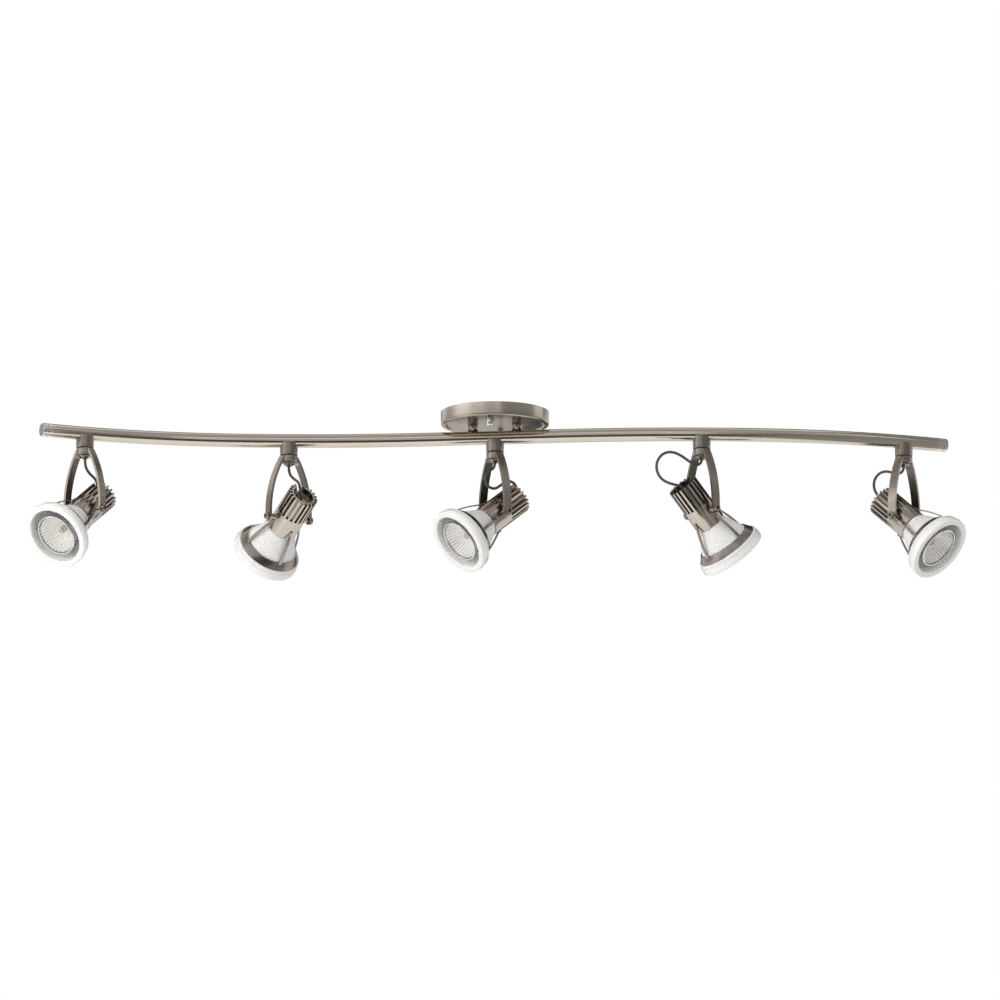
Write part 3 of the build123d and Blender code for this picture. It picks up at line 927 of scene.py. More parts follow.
@dataclass
class CeilingMount:
    """Canopy, strap, nuts and posts that hold the bar to the ceiling."""

    radius: float = 63.5
    height: float = 16.0
    sheet: float = 1.0
    bead: float = 6.0
    dish: float = 1.2
    stud_spacing: float = 88.9
    nut_radius: float = 4.7
    nut_collar: float = 6.6
    nut_bore: float = 2.15
    nut_chamfer: float = 0.3
    post_spacing: float = 52.0
    post_radius: float = 6.0
    nipple_radius: float = 4.8
    nipple_bore: float = 3.0
    nipple_length: float = 6.0
    bore_depth: float = 9.0
    thread_pitch: float = 0.7
    thread_depth: float = 0.4
    saddle_radius: float = 8.1

    @property
    def underside(self) -> float:
        """Height of the canopy's dished underside."""
        return self.dish - self.height

    def canopy(self) -> Piece:
        """Turn the spun cup, with a rolled bead round its dished underside.

        Returns:
            The canopy.
        """
        inner = self.radius - self.bead
        floor = self.underside + self.sheet
        outline = [(0, self.underside), (inner - self.dish, self.underside), (inner, -self.height),
                   (self.radius, -self.height), (self.radius, 0), (self.radius - self.sheet, 0),
                   (self.radius - self.sheet, self.sheet - self.height), (inner, self.sheet - self.height),
                   (inner - self.dish, floor), (0, floor)]
        corner = rounded(outline[:5], 3.0, 8)[:-1]
        lip = rounded(outline[4:7], 0.35, 2)[1:-1]
        return turned("canopy_shell", [*corner, (self.radius, -0.3), *lip, *outline[6:]], 160)

    def cap_nut(self) -> Piece:
        """Turn one acorn nut, with its rim chamfered.

        Returns:
            The nut, on Z.
        """
        base, radius, bore = self.underside, self.nut_radius, self.nut_bore
        dome = base - self.nut_collar
        turns = [step * math.pi / 20 for step in range(10)]
        arc = [(radius * math.cos(turn), dome - radius * math.sin(turn)) for turn in turns]
        outline = [(0, base - 2.0), (bore, base - 2.0), (bore, base), (radius - self.nut_chamfer, base),
                   (radius, base - self.nut_chamfer), *arc, (0, dome - radius)]
        return turned("acorn_nut", outline, 64)

    def post(self) -> Piece:
        """Turn one post, saddled on the bar, with its threaded nipple.

        Returns:
            The post, on Z.
        """
        top = self.underside + self.sheet + self.nipple_length
        low = PATH.height + 2.0
        root = self.nipple_radius - self.thread_depth
        threads = []
        height = self.underside + 0.4
        while height < top - 0.8:
            threads += [(self.nipple_radius, height), (root, height + self.thread_pitch / 2)]
            height += self.thread_pitch
        body = rounded([(0, low), (self.post_radius, low), (self.post_radius, self.underside),
                        (self.nipple_radius, self.underside)], 0.5, 3)
        bore = [(root, top), (self.nipple_bore, top), (self.nipple_bore, top - self.bore_depth),
                (0, top - self.bore_depth)]
        post = turned("turned_post", [*body, *threads, *bore], 64)
        saddled(post, self.saddle_radius, PATH.height)
        return post

    def build(self, materials: Materials) -> None:
        """Model, dress and place the pieces of the mount.

        Args:
            materials: The finishes' materials.
        """
        settle(keep_own(self.canopy()), materials["turned_nickel"], FIXTURE, ["canopy"])
        across = [Matrix.Translation((0, side * self.stud_spacing / 2 * MM, 0)) for side in SIDES]
        nuts = gathered(keep_own(self.cap_nut()), "acorn_nuts", across)
        settle(nuts, materials["polished_nickel"], FIXTURE, ["cap_nuts"])
        along = [Matrix.Translation((side * self.post_spacing / 2 * MM, 0, 0)) for side in SIDES]
        posts = gathered(keep_own(self.post()), "turned_posts", along)
        settle(posts, materials["collar_nickel_painted_shade"], FIXTURE, ["bar_posts"])
        for node in ("mounting_strap", "strap_studs", "post_nuts", "ground_screw"):
            paint(frame["nodes"][node], materials["zinc_plate"])


@dataclass
class WaveBar:
    """The bent tube and its two end caps."""

    radius: float = 8.0
    wall: float = 1.3
    cap_length: float = 6.7
    groove: float = 1.2
    groove_depth: float = 1.0
    plug: float = 6.0
    straight_steps: int = 4
    arc_steps: int = 24

    def tube(self) -> Piece:
        """Push a ring straight, spin it round the two arcs, and turn a copy over for the other half.

        Returns:
            The closed tube.
        """
        tube = started("wave_tube", bpy.ops.mesh.primitive_circle_add, vertices=64, radius=self.radius * MM,
                       rotation=(0, QUARTER, 0), location=(0, 0, PATH.height * MM))
        bpy.ops.object.mode_set(mode="EDIT")
        bpy.ops.mesh.select_all(action="SELECT")
        for _ in range(self.straight_steps):
            step = (PATH.straight / self.straight_steps * MM, 0, 0)
            bpy.ops.mesh.extrude_edges_move(TRANSFORM_OT_translate={"value": step})
        for centre, turn in ((PATH.inner_centre, PATH.inner_turn), (PATH.outer_centre, PATH.outer_turn)):
            middle = (centre.x * MM, centre.y * MM, PATH.height * MM)
            bpy.ops.mesh.spin(steps=self.arc_steps, angle=-turn, center=middle, axis=(0, 0, 1))
        bpy.ops.mesh.edge_face_add()
        bpy.ops.mesh.select_all(action="SELECT")
        bpy.ops.mesh.duplicate()
        bpy.ops.transform.rotate(value=math.pi, orient_axis="Z", center_override=(0, 0, PATH.height * MM))
        close_up(40.0)
        return tube

    def cap(self) -> Piece:
        """Turn one end cap.

        Returns:
            The cap, along Z from the end of the tube.
        """
        bore = self.radius - self.wall
        groove = self.radius - self.groove_depth
        face = rounded([(groove, self.groove), (self.radius, self.groove), (self.radius, self.cap_length),
                        (0, self.cap_length)], 1.0, 5)
        return turned("end_cap", [(0, -self.plug), (bore, -self.plug), (bore, 0), (groove, 0), *face])

    def build(self, materials: Materials) -> None:
        """Model, dress and place the bar.

        Args:
            materials: The finishes' materials.
        """
        tube = keep_own(self.tube(), PATH.unrolled)
        settle(tube, materials["bar_nickel"], FIXTURE, ["bar_tube"])
        place, turn = PATH.end()
        out = Matrix.Translation(place) @ Matrix.Rotation(turn, 4, "Z") @ Matrix.Rotation(QUARTER, 4, "Y")
        caps = gathered(keep_own(self.cap()), "end_caps", [out, Matrix.Rotation(math.pi, 4, "Z") @ out])
        settle(caps, materials["polished_nickel"], FIXTURE, ["bar_end_caps"])


@dataclass(frozen=True)
class HeadPlace:
    """Where one lamp head hangs and how it is aimed, read from the frame's joints."""

    number: int
    swivel: Vector
    pivot: Vector
    aim: float
    tilt: float

    @classmethod
    def read(cls, number: int) -> "HeadPlace":
        """Read a head's place from its two joints.

        Args:
            number: The head, counted from the left.

        Returns:
            Its place.
        """
        joints = {joint["name"]: joint for joint in frame["joints"]}
        turn, nod = joints[f"swivel_turn_{number}"], joints[f"head_tilt_{number}"]
        aim = math.atan2(nod["axis"][0], -nod["axis"][1])
        return cls(number, Vector(turn["pos_m"]), Vector(nod["pos_m"]), aim, -math.radians(nod["range_deg"][0]))

    @property
    def hub(self) -> Vector:
        """The place on the bar's axis from which the head hangs."""
        return Vector((self.swivel.x, self.swivel.y, PATH.height * MM))

    @property
    def on_bar(self) -> Matrix:
        """Frame on the bar's axis, with X along the bar."""
        return Matrix.Translation(self.hub) @ Matrix.Rotation(PATH.heading(self.hub), 4, "Z")

    @property
    def on_yoke(self) -> Matrix:
        """Frame on the bar's axis, with X along the aim."""
        return Matrix.Translation(self.hub) @ Matrix.Rotation(self.aim, 4, "Z")

    @property
    def on_head(self) -> Matrix:
        """Frame at the tilt pivot, with Z towards the rear of the head and Y along the pivot."""
        turn = Matrix.Rotation(self.aim, 4, "Z") @ Matrix.Rotation(-self.tilt, 4, "Y")
        return Matrix.Translation(self.pivot) @ turn


class Carrier(Enum):
    """What carries a piece of a lamp head: the body it moves with, and the frame it is modelled in."""

    BAR = (FIXTURE, "on_bar")
    YOKE = ("swivel_{}", "on_yoke")
    HEAD = ("head_{}", "on_head")

    def body(self, place: HeadPlace) -> str:
        """The body at one head."""
        return self.value[0].format(place.number)

    def frame(self, place: HeadPlace) -> Matrix:
        """The frame at one head."""
        return getattr(place, self.value[1])


@dataclass
class SwivelMount:
    """Collar, washer, bush and yoke that carry a head under the bar, measured from the bar's axis."""

    collar_radius: float = 10.4
    collar_top: float = -2.0
    collar_bottom: float = -17.3
    saddle_radius: float = 8.1
    washer_radius: float = 9.9
    washer_thickness: float = 0.6
    washer_edge: float = 0.15
    hub_radius: float = 10.2
    hub_height: float = 8.0
    face_clearance: float = 0.12
    bush_radius: float = 5.0
    bush_clearance: float = 0.1
    bush_bore: float = 2.3
    bush_depth: float = 3.0
    flange_radius: float = 7.4
    flange_height: float = 4.4
    pivot_drop: float = 92.5
    arm_width: float = 10.0
    arm_thickness: float = 3.0
    arm_inner: float = 26.0
    arm_straight: float = 6.0
    arm_root: float = 8.5
    arm_steps: int = 22

    @property
    def hub_top(self) -> float:
        """Height of the hub's top face."""
        return self.collar_bottom - self.washer_thickness - self.face_clearance

    @property
    def bore(self) -> float:
        """Radius of the holes that turn on the bush."""
        return self.bush_radius + self.bush_clearance

    def collar(self) -> Piece:
        """Turn the collar and saddle it round the underside of the bar.

        Returns:
            The collar.
        """
        collar = turned("collar", rounded(rod(self.collar_radius, self.collar_bottom, self.collar_top), 0.9, 4))
        saddled(collar, self.saddle_radius)
        soften(collar, 0.2, 38.0)
        return collar

    def washer(self) -> Piece:
        """Turn the dark washer between collar and hub.

        Returns:
            The washer.
        """
        low, top = self.collar_bottom - self.washer_thickness, self.collar_bottom
        rim, edge = self.washer_radius, self.washer_edge
        outline = [(self.bore, low), (rim - edge, low), (rim, low + edge), (rim, top - edge), (rim - edge, top),
                   (self.bore, top), (self.bore, low)]
        return turned("washer", outline, 72)

    def bush(self) -> Piece:
        """Turn the swivel bush, whose domed flange carries the hub and lets the lead out.

        Returns:
            The bush, with the inside of its bore marked for painted shade.
        """
        top = self.hub_top - self.hub_height - self.face_clearance
        low = top - self.flange_height
        end, head = low + self.bush_depth, self.collar_bottom + 1.0
        arc = rounded([(self.bush_radius, top), (self.flange_radius, top), (self.flange_radius, top - 1.6),
                       (self.bush_bore + 1.2, low), (self.bush_bore, low), (self.bush_bore, end)], 1.1, 5)
        outline = [(0, end + 1.0), (self.bush_bore, end), *reversed(arc[:-1]), (self.bush_radius, head),
                   (0, head)]
        bush = turned("bush", outline, 72)
        hole, floor = (self.bush_bore + 0.1) * MM, (low + 4.5) * MM
        # painted shade: the inside of the bore is marked to be painted darker
        return shaded(bush, lambda middle, normal: middle.xy.length < hole and middle.z < floor)

    def arm(self) -> Piece:
        """Spin a flat arm's section along its bow, then push it straight down past the pivot.

        Returns:
            The arm on the side of Y.
        """
        knee = self.arm_straight - self.pivot_drop
        rise = self.hub_top - 1.4 - knee
        middle = self.arm_inner + self.arm_thickness / 2
        span = middle - self.arm_root
        bow = (span**2 + rise**2) / (2 * span)
        turn = math.atan2(rise, bow - span)
        centre = (0, middle * MM, knee * MM)
        arm = started("arm", bpy.ops.mesh.primitive_plane_add, size=MM, location=centre)
        bpy.ops.object.mode_set(mode="EDIT")
        bpy.ops.mesh.select_all(action="SELECT")
        bpy.ops.transform.resize(value=(self.arm_width, self.arm_thickness, 1), center_override=centre)
        bpy.ops.mesh.duplicate()
        drop = (0, 0, -(self.arm_straight + self.arm_width / 2) * MM)
        bpy.ops.mesh.extrude_region_move(TRANSFORM_OT_translate={"value": drop})
        pick(arm, knee)
        bpy.ops.mesh.select_mode(type="FACE")
        bpy.ops.mesh.spin(steps=self.arm_steps, angle=-turn, center=(0, (middle - bow) * MM, knee * MM),
                          axis=(1, 0, 0))
        close_up()
        return arm

    def round_tip(self, arm: Piece) -> None:
        """Round the lower end of an arm about the pivot.

        Args:
            arm: The arm, which is changed.
        """
        take(arm, "EDIT")
        pick(arm, -self.pivot_drop - self.arm_width / 2)
        bpy.ops.object.mode_set(mode="OBJECT")
        chosen = {vertex.index for vertex in arm.data.vertices if vertex.select}
        for edge in arm.data.edges:
            ends = [arm.data.vertices[index].co for index in edge.vertices]
            edge.select = set(edge.vertices) <= chosen and abs(ends[0].x - ends[1].x) < TOUCH
        bpy.ops.object.mode_set(mode="EDIT")
        bpy.ops.mesh.select_mode(type="EDGE")
        bpy.ops.mesh.bevel(offset=(self.arm_width / 2 - 0.1) * MM, segments=8, affect="EDGES")
        close_up()

    def yoke(self) -> Piece:
        """Join a turned hub and two arms.

        Returns:
            The yoke, with the inner faces of its arms marked for painted shade.
        """
        low, top = self.hub_top - self.hub_height, self.hub_top
        corners = rod(self.hub_radius, low, top, self.bore)
        hub = turned("hub", [*rounded(corners, 1.3, 5), corners[0]])
        arm = self.arm()
        self.round_tip(arm)
        soften(arm, 0.4)
        twin = copied(arm, "arm_twin", Matrix.Rotation(math.pi, 4, "Z"))
        yoke = joined("yoke", [hub, arm, twin])
        root = (self.arm_root + 3.0) * MM
        # painted shade: the arms' inner faces are marked to be painted darker
        return shaded(yoke, lambda middle, normal: abs(middle.y) > root
                      and middle.y * normal.y < -0.6 * abs(middle.y))


@dataclass
class LampHead:
    """Finned barrel, screws, guard, glass and lamp; stations count forward from the barrel's rear end."""

    pivot_station: float = 40.0
    barrel_radius: float = 18.2
    barrel_bore: float = 12.8
    barrel_end: float = 57.0
    fin_length: float = 30.0
    fin_count: int = 20
    fin_depth: float = 4.0
    fin_gap: float = 3.1
    recess: float = 8.0
    recess_radius: float = 12.4
    rear_wall: float = 3.0
    lead_hole: float = 2.0
    notch: float = 9.5
    boss_radius: float = 3.2
    boss_start: float = 16.0
    boss_end: float = 25.9
    shank_radius: float = 2.0
    screw_seat: float = 29.1
    screw_radius: float = 4.1
    screw_height: float = 3.4
    screw_edge: float = 0.3
    socket_radius: float = 1.5
    ring_rear: float = 83.4
    ring_front: float = 91.4
    ring_rear_radius: float = 31.9
    ring_front_radius: float = 37.6
    guard_thickness: float = 1.6
    strut_count: int = 4
    strut_width: float = 3.5
    strut_foot: float = 44.4
    strut_bend: float = 49.0
    strut_bow: float = 1.6
    strut_clearance: float = 0.12
    strut_steps: int = 12
    glass_rear: float = 57.6
    glass_rear_radius: float = 17.4
    glass_wall: float = 3.0
    glass_clearance: float = 0.3
    lip_root_radius: float = 38.9
    lip_shoulder: float = 98.6
    lip_front: float = 104.3
    lip_radius: float = 40.5
    lip_inner: float = 33.4
    lamp_face: float = 102.0
    lamp_radius: float = 25.0
    lamp_rim: float = 3.0
    neck_station: float = 69.4
    neck_radius: float = 11.8
    base_station: float = 54.6
    base_radius: float = 10.6
    lens_radius: float = 23.2
    lens_thickness: float = 2.2
    dish_station: float = 76.4
    dish_radius: float = 5.6
    flutes: int = 36
    flute_depth: float = 0.5
    burner_radius: float = 4.2
    burner_length: float = 16.0
    coil_radius: float = 0.9
    coil_wire: float = 0.2
    coil_pitch: float = 0.6
    stem_reach: float = 1.9
    stem_width: float = 0.45

    def at(self, station: float) -> float:
        """Height in the head's frame of a station."""
        return self.pivot_station - station

    def outline(self, points: Iterable[Point]) -> list[Point]:
        """Radius and station pairs as radius and height pairs."""
        return [(radius, self.at(station)) for radius, station in points]

    def barrel(self) -> Piece:
        """Turn the heat sink, cut the slots between its fins and its rear notch, and add two bosses.

        Returns:
            The barrel, with the inside of its slots marked for painted shade.
        """
        floor = self.recess + self.rear_wall
        points = [(self.lead_hole, self.recess), (self.recess_radius, self.recess), (self.recess_radius, 0),
                  (self.barrel_radius, 0), (self.barrel_radius, self.barrel_end),
                  (self.barrel_bore, self.barrel_end), (self.barrel_bore, floor), (self.lead_hole, floor)]
        outline = rounded(self.outline(points), 0.5, 3)
        barrel = turned("barrel", [*outline, outline[0]], 160)
        reach = self.fin_depth + 2.0
        gap = block("gap", (reach, self.fin_gap, self.fin_length + 2.0),
                    (self.barrel_radius - self.fin_depth + reach / 2, 0, self.at(self.fin_length / 2 - 1.0)))
        gap.data.transform(Matrix.Rotation(math.pi / self.fin_count, 4, "Z"))
        cut(barrel, ringed(gap, self.fin_count))
        cut(barrel, block("notch", (self.barrel_radius + 2, self.notch, self.recess + 1.0),
                          (self.barrel_radius / 2 + 1, 0, self.at(self.recess / 2 - 0.5))))
        soften(barrel, 0.22)
        length = self.boss_end - self.boss_start
        boss = turned("boss", rounded(rod(self.boss_radius, 0.0, length), 0.4, 3), 48)
        barrel = joined("barrel", [barrel, gathered(boss, "bosses", both_sides(self.boss_start))])
        skin, fins = (self.barrel_radius - 0.5) * MM, (self.at(self.fin_length) - 1.0) * MM
        # painted shade: the slots between the fins are marked to be painted darker
        return shaded(barrel, lambda middle, normal: middle.xy.length < skin and middle.z > fins
                      and abs(normal.z) < 0.7)

    def screws(self) -> Piece:
        """Turn a domed pivot screw, cut its hexagon socket and copy it to both sides.

        Returns:
            The pair of screws, with the inside of their sockets marked.
        """
        seat, radius, foot = self.screw_seat, self.screw_radius, self.boss_end - 2
        top = seat + self.screw_height
        turns = [step * math.pi / 16 for step in range(8)]
        dome = [(radius * math.cos(turn), top - 1.0 + math.sin(turn)) for turn in turns]
        outline = [(0, foot), (self.shank_radius, foot), (self.shank_radius, seat),
                   (radius - self.screw_edge, seat), (radius, seat + self.screw_edge), *dome, (0, top)]
        screw = turned("screw", outline, 64)
        cut(screw, started("socket", bpy.ops.mesh.primitive_cylinder_add, vertices=6,
                           radius=self.socket_radius * MM, depth=4 * MM, location=(0, 0, (top + 0.4) * MM)))
        smoothed(screw)
        hole, floor = (self.socket_radius + 0.05) * MM, (seat + 0.5) * MM
        # painted shade: the hexagon sockets are marked to be painted darker
        shaded(screw, lambda middle, normal: middle.xy.length < hole and middle.z > floor)
        return gathered(screw, "pivot_pair", both_sides())

    def guard(self) -> Piece:
        """Turn the conical ring and set it on its bowed struts.

        Returns:
            The guard.
        """
        thick = self.guard_thickness
        inner_rear, inner_front = self.ring_rear_radius - thick, self.ring_front_radius - thick
        points = [(inner_rear + 0.001, self.ring_rear), (self.ring_rear_radius, self.ring_rear),
                  (self.ring_front_radius, self.ring_front), (inner_front, self.ring_front),
                  (inner_rear, self.ring_rear + 0.001)]
        outline = rounded(self.outline(points), 0.4, 3)
        ring = turned("ring", [*outline, outline[0]], 128)
        slope = (self.ring_front_radius - self.ring_rear_radius) / (self.ring_front - self.ring_rear)
        foot = self.barrel_radius + self.strut_clearance + thick / 2
        tip = inner_rear + slope * thick + thick / 2
        tip_station = self.ring_rear + thick
        route = [(foot, 0, self.at(self.strut_foot)), (foot, 0, self.at(self.strut_bend - 1.0))]
        for step in range(self.strut_steps + 1):
            share = step / self.strut_steps
            bow = 4 * self.strut_bow * share * (1 - share)
            radius = foot + (tip - foot) * share + bow * 0.75
            station = self.strut_bend + (tip_station - self.strut_bend) * share - bow * 0.4
            route.append((radius, 0, self.at(station)))
        strut = swept("strut", (thick, self.strut_width), route)
        soften(strut, 0.35)
        return joined("guard", [ring, ringed(strut, self.strut_count)])

    def glass(self) -> Piece:
        """Turn the glass cone with its thick rounded lip.

        Returns:
            The cone.
        """
        inset = self.guard_thickness + self.glass_clearance
        seat_rear, seat_front = self.ring_rear_radius - inset, self.ring_front_radius - inset
        rear = (self.glass_rear_radius - self.glass_wall, self.glass_rear)
        points = [rear, (self.glass_rear_radius, self.glass_rear), (seat_rear, self.ring_rear),
                  (seat_front, self.ring_front), (self.lip_root_radius, self.ring_front),
                  (self.lip_radius, self.lip_shoulder), (self.lip_radius, self.lip_front),
                  (self.lip_inner, self.lip_front), (seat_front - self.glass_wall, self.ring_front),
                  (seat_rear - self.glass_wall, self.ring_rear), rear]
        return turned("glass", rounded(self.outline(points), 1.4, 6), 128, 60.0)

    def curve(self, start: Point, end: Point, bulge: float, steps: int) -> list[Point]:
        """A bowed line of radius and station pairs.

        Args:
            start: First radius and station.
            end: Last radius and station.
            bulge: How far it bows outwards in the middle.
            steps: Straight pieces in it.

        Returns:
            Its points, both ends included.
        """
        first, last = Vector(start), Vector(end)
        side = Vector((abs(last.y - first.y), -abs(last.x - first.x))).normalized()
        shares = [step / steps for step in range(steps + 1)]
        return [tuple(first.lerp(last, share) + side * bulge * 4 * share * (1 - share)) for share in shares]

    def bowl(self) -> list[Point]:
        """The mirror dish's front from its middle to its edge, as radius and station pairs."""
        seat = self.lamp_face - self.lens_thickness - 0.25
        return self.curve((self.dish_radius, self.dish_station), (self.lens_radius - 1.0, seat), 2.4, 5)

    def shell(self) -> Piece:
        """Turn the lamp's outside: rim, flank, neck and base.

        Returns:
            The shell, hollowed for the dish.
        """
        face, rim = self.lamp_face, self.lamp_face - self.lamp_rim
        seat, opening = face - self.lens_thickness, self.lens_radius + 0.3
        flank = self.curve((self.neck_radius, self.neck_station), (self.lamp_radius - 0.6, rim), 2.6, 12)
        lining = [(radius + 0.8, station - 0.6) for radius, station in reversed(self.bowl())]
        points = [(0, self.base_station), (self.base_radius, self.base_station), *flank,
                  (self.lamp_radius, rim + 0.6), (self.lamp_radius, face - 0.5), (self.lamp_radius - 0.5, face),
                  (opening, face), (opening, seat - 0.2), *lining, (0, self.dish_station - 1.4)]
        return turned("lamp_shell", self.outline(points))

    def reflector(self) -> Piece:
        """Turn the mirror dish and sink every second line, for narrow facets that run outwards from its middle.

        Returns:
            The dish, flat shaded.
        """
        front = self.bowl()
        back = [(radius + 0.5, station - 0.3) for radius, station in reversed(front)]
        points = [(0, self.dish_station), *front, *back, (0, self.dish_station - 0.6)]
        dish = turned("lamp_dish", self.outline(points), 2 * self.flutes)
        for vertex in dish.data.vertices:
            flat = Vector((vertex.co.x, vertex.co.y))
            step = round(math.atan2(flat.y, flat.x) / math.tau * 2 * self.flutes)
            if step % 2 and flat.length > (self.dish_radius + 1.0) * MM:
                vertex.co.z -= self.flute_depth * MM
        take(dish)
        bpy.ops.object.shade_flat()
        return dish

    def front_lens(self) -> Piece:
        """Turn the lamp's front lens, a little domed, with a moulded ring near its edge.

        Returns:
            The lens.
        """
        face, seat, edge = self.lamp_face, self.lamp_face - self.lens_thickness, self.lens_radius
        points = [(0, face + 0.25), (8.0, face + 0.2), (15.0, face + 0.05), (edge - 2.4, face - 0.2),
                  (edge - 1.9, face - 0.55), (edge - 1.2, face - 0.2), (edge - 0.3, face - 0.25),
                  (edge, face - 0.6), (edge, seat), (0, seat)]
        return turned("lamp_lens", self.outline(points), 96, SHARP)

    def burner(self) -> Piece:
        """Turn the lamp's inner glass capsule.

        Returns:
            The capsule.
        """
        start, end = self.dish_station + 0.5, self.dish_station + self.burner_length
        radius = self.burner_radius
        points = [(0, start), (radius - 0.4, start), (radius, start + 3.0), (radius, end - 3.5),
                  (radius * 0.75, end - 1.4), (radius * 0.36, end - 0.2), (0, end)]
        return turned("lamp_burner", rounded(self.outline(points), 1.4, 4), 48, 60.0)

    def coil(self) -> Piece:
        """Set the filament, a small coil across the axis, on two stems.

        Returns:
            Coil and stems.
        """
        turn = started("coil_turn", bpy.ops.mesh.primitive_torus_add, major_radius=self.coil_radius * MM,
                       minor_radius=self.coil_wire * MM, major_segments=18, minor_segments=6,
                       rotation=(0, QUARTER, 0))
        low, height = self.at(self.dish_station + 1.0), self.at(self.dish_station + self.burner_length - 6.0)
        shifts = [Matrix.Translation((shift * self.coil_pitch * MM, 0, height * MM)) for shift in range(-3, 4)]
        turns = gathered(turn, "lamp_coil", shifts)
        ends = [side * self.stem_reach for side in SIDES]
        width = (self.stem_width, self.stem_width)
        stems = [swept("stem", width, [(end, 0, low), (end, 0, height)]) for end in ends]
        return smoothed(joined("lamp_coil", [turns, *stems]), 40.0)


@dataclass(frozen=True)
class LeadRun:
    """How a lead runs: its length, the corner where it starts to bend, and its corners, in its yoke's frame."""

    length: float
    bends_from: int
    corners: tuple[Place, ...]


LEAD_RUNS = {
    1: LeadRun(61.2, 2, (
        (0, 0, -28), (0, 0, -39), (-7, 0.8, -47), (-18.2, 1, -51.6), (-22.4, 0.6, -61), (-29.6, 0, -70.6),
        (-23.4, 0, -75.2))),
    2: LeadRun(62.8, 2, (
        (0, 0, -28), (0, 0, -38.5), (-8, -0.8, -46), (-21, -1, -53), (-24.5, -0.6, -62.7), (-30.5, 0, -71.9),
        (-24.1, 0, -76.2))),
    3: LeadRun(106.3, 2, (
        (0, 0, -28), (0, 0, -36), (7.9, 0, -40.2), (15.1, 0.6, -48), (12.8, 1.2, -58.4), (3, 1.5, -62.5),
        (-6, 1.2, -57.5), (-13, 1, -51.5), (-21, 0.8, -49.5), (-28, 0.5, -53), (-31, 0.2, -60.5),
        (-30.1, 0, -70), (-23.3, 0, -75.1))),
    4: LeadRun(129.0, 2, (
        (0, 0, -28), (0, 0, -34), (-6.5, 1, -38), (-15, 3.5, -34), (-25, 6.5, -27), (-36, 10, -23),
        (-47, 13, -26), (-54, 15, -36), (-55, 14.5, -47), (-51, 11.5, -57), (-42, 7, -62.5), (-26.6, 0, -65.4),
        (-20.4, 0, -71.7))),
    5: LeadRun(89.4, 4, (
        (0, 0, -28), (0, 0, -34), (-6.5, 0, -38), (-15, -0.5, -35.5), (-24, -1, -32.5), (-33, -1.2, -34),
        (-39.5, -1, -40), (-41.5, -0.6, -48.5), (-38.5, -0.3, -57), (-30.6, 0, -66.8), (-22.3, 0, -73.8))),
}


@dataclass
class Lead:
    """The dark lead that loops from a yoke's bush to the rear of its head."""

    place: HeadPlace
    radius: float = 1.6
    around: int = 20

    @property
    def run(self) -> LeadRun:
        """How this lead runs."""
        return LEAD_RUNS[self.place.number]

    @property
    def route(self) -> list[Vector]:
        """Its corners in the part's frame, in metres."""
        return [self.place.on_yoke @ (Vector(corner) * MM) for corner in self.run.corners]

    def line(self) -> list[Vector]:
        """Points along the route's smooth spline.

        Returns:
            The points, from the bush to the head.
        """
        route = self.route
        curve = bpy.data.curves.new("lead_line", "CURVE")
        curve.dimensions = "3D"
        curve.resolution_u = 8
        spline = curve.splines.new("NURBS")
        spline.points.add(len(route) - 1)
        for point, place in zip(spline.points, route):
            point.co = (*place, 1)
        spline.order_u = 3
        spline.use_endpoint_u = True
        holder = bpy.data.objects.new("lead_line", curve)
        bpy.context.scene.collection.objects.link(holder)
        mesh = bpy.data.meshes.new_from_object(holder)
        points = [vertex.co.copy() for vertex in mesh.vertices]
        bpy.data.meshes.remove(mesh)
        bpy.data.objects.remove(holder)
        return points

    def rings(self, points: Sequence[Vector]) -> list[Vector]:
        """Places on the tube's skin, ring by ring along a line.

        Args:
            points: The line.

        Returns:
            The places, with the rings kept from twisting.
        """
        side = Vector((0, 0, 1)).cross(points[1] - points[0])
        side = side if side.length > TOUCH else Vector((1, 0, 0))
        turns = [math.tau * step / self.around for step in range(self.around)]
        places = []
        for index, point in enumerate(points):
            ahead = (points[min(index + 1, len(points) - 1)] - points[max(index - 1, 0)]).normalized()
            side = (side - ahead * side.dot(ahead)).normalized()
            up = ahead.cross(side)
            ring = [side * math.cos(turn) + up * math.sin(turn) for turn in turns]
            places += [point + out * self.radius * MM for out in ring]
        return places

    def tube(self, points: Sequence[Vector]) -> Piece:
        """A closed tube round a line, with a UV map that runs round and along it.

        Args:
            points: The line.

        Returns:
            The tube.
        """
        around, runs = self.around, [0.0]
        for before, after in zip(points, points[1:]):
            runs.append(runs[-1] + (after - before).length)
        faces, uvs = [], []
        for index in range(len(points) - 1):
            low, high = index * around, (index + 1) * around
            for step in range(around):
                after = (step + 1) % around
                faces.append((low + step, low + after, high + after, high + step))
                left, right = step / around, (step + 1) / around
                near, far = runs[index], runs[index + 1]
                uvs += [(left, near), (right, near), (right, far), (left, far)]
        last = (len(points) - 1) * around
        faces += [tuple(reversed(range(around))), tuple(range(last, last + around))]
        uvs += [(0, 0)] * (2 * around)
        mesh = bpy.data.meshes.new(f"lead_{self.place.number}_sleeve")
        mesh.from_pydata(self.rings(points), [], faces)
        layer = mesh.uv_layers.new(name="lead")
        for loop, uv in zip(layer.data, uvs):
            loop.uv = uv
        tube = bpy.data.objects.new(mesh.name, mesh)
        bpy.context.scene.collection.objects.link(tube)
        return smoothed(tube, SHARP)

    def build(self, materials: Materials) -> None:
        """Model the lead along its bent line from its yoke to its head.

        Args:
            materials: The finishes' materials.
        """
        number, route, points = self.place.number, self.route, self.line()
        tube = self.tube(points)
        paint(tube, materials["lead_sleeve"])
        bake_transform(tube)
        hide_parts(f"lead_{number}")
        LOG.info("%s bends between yoke and head", tube.name)


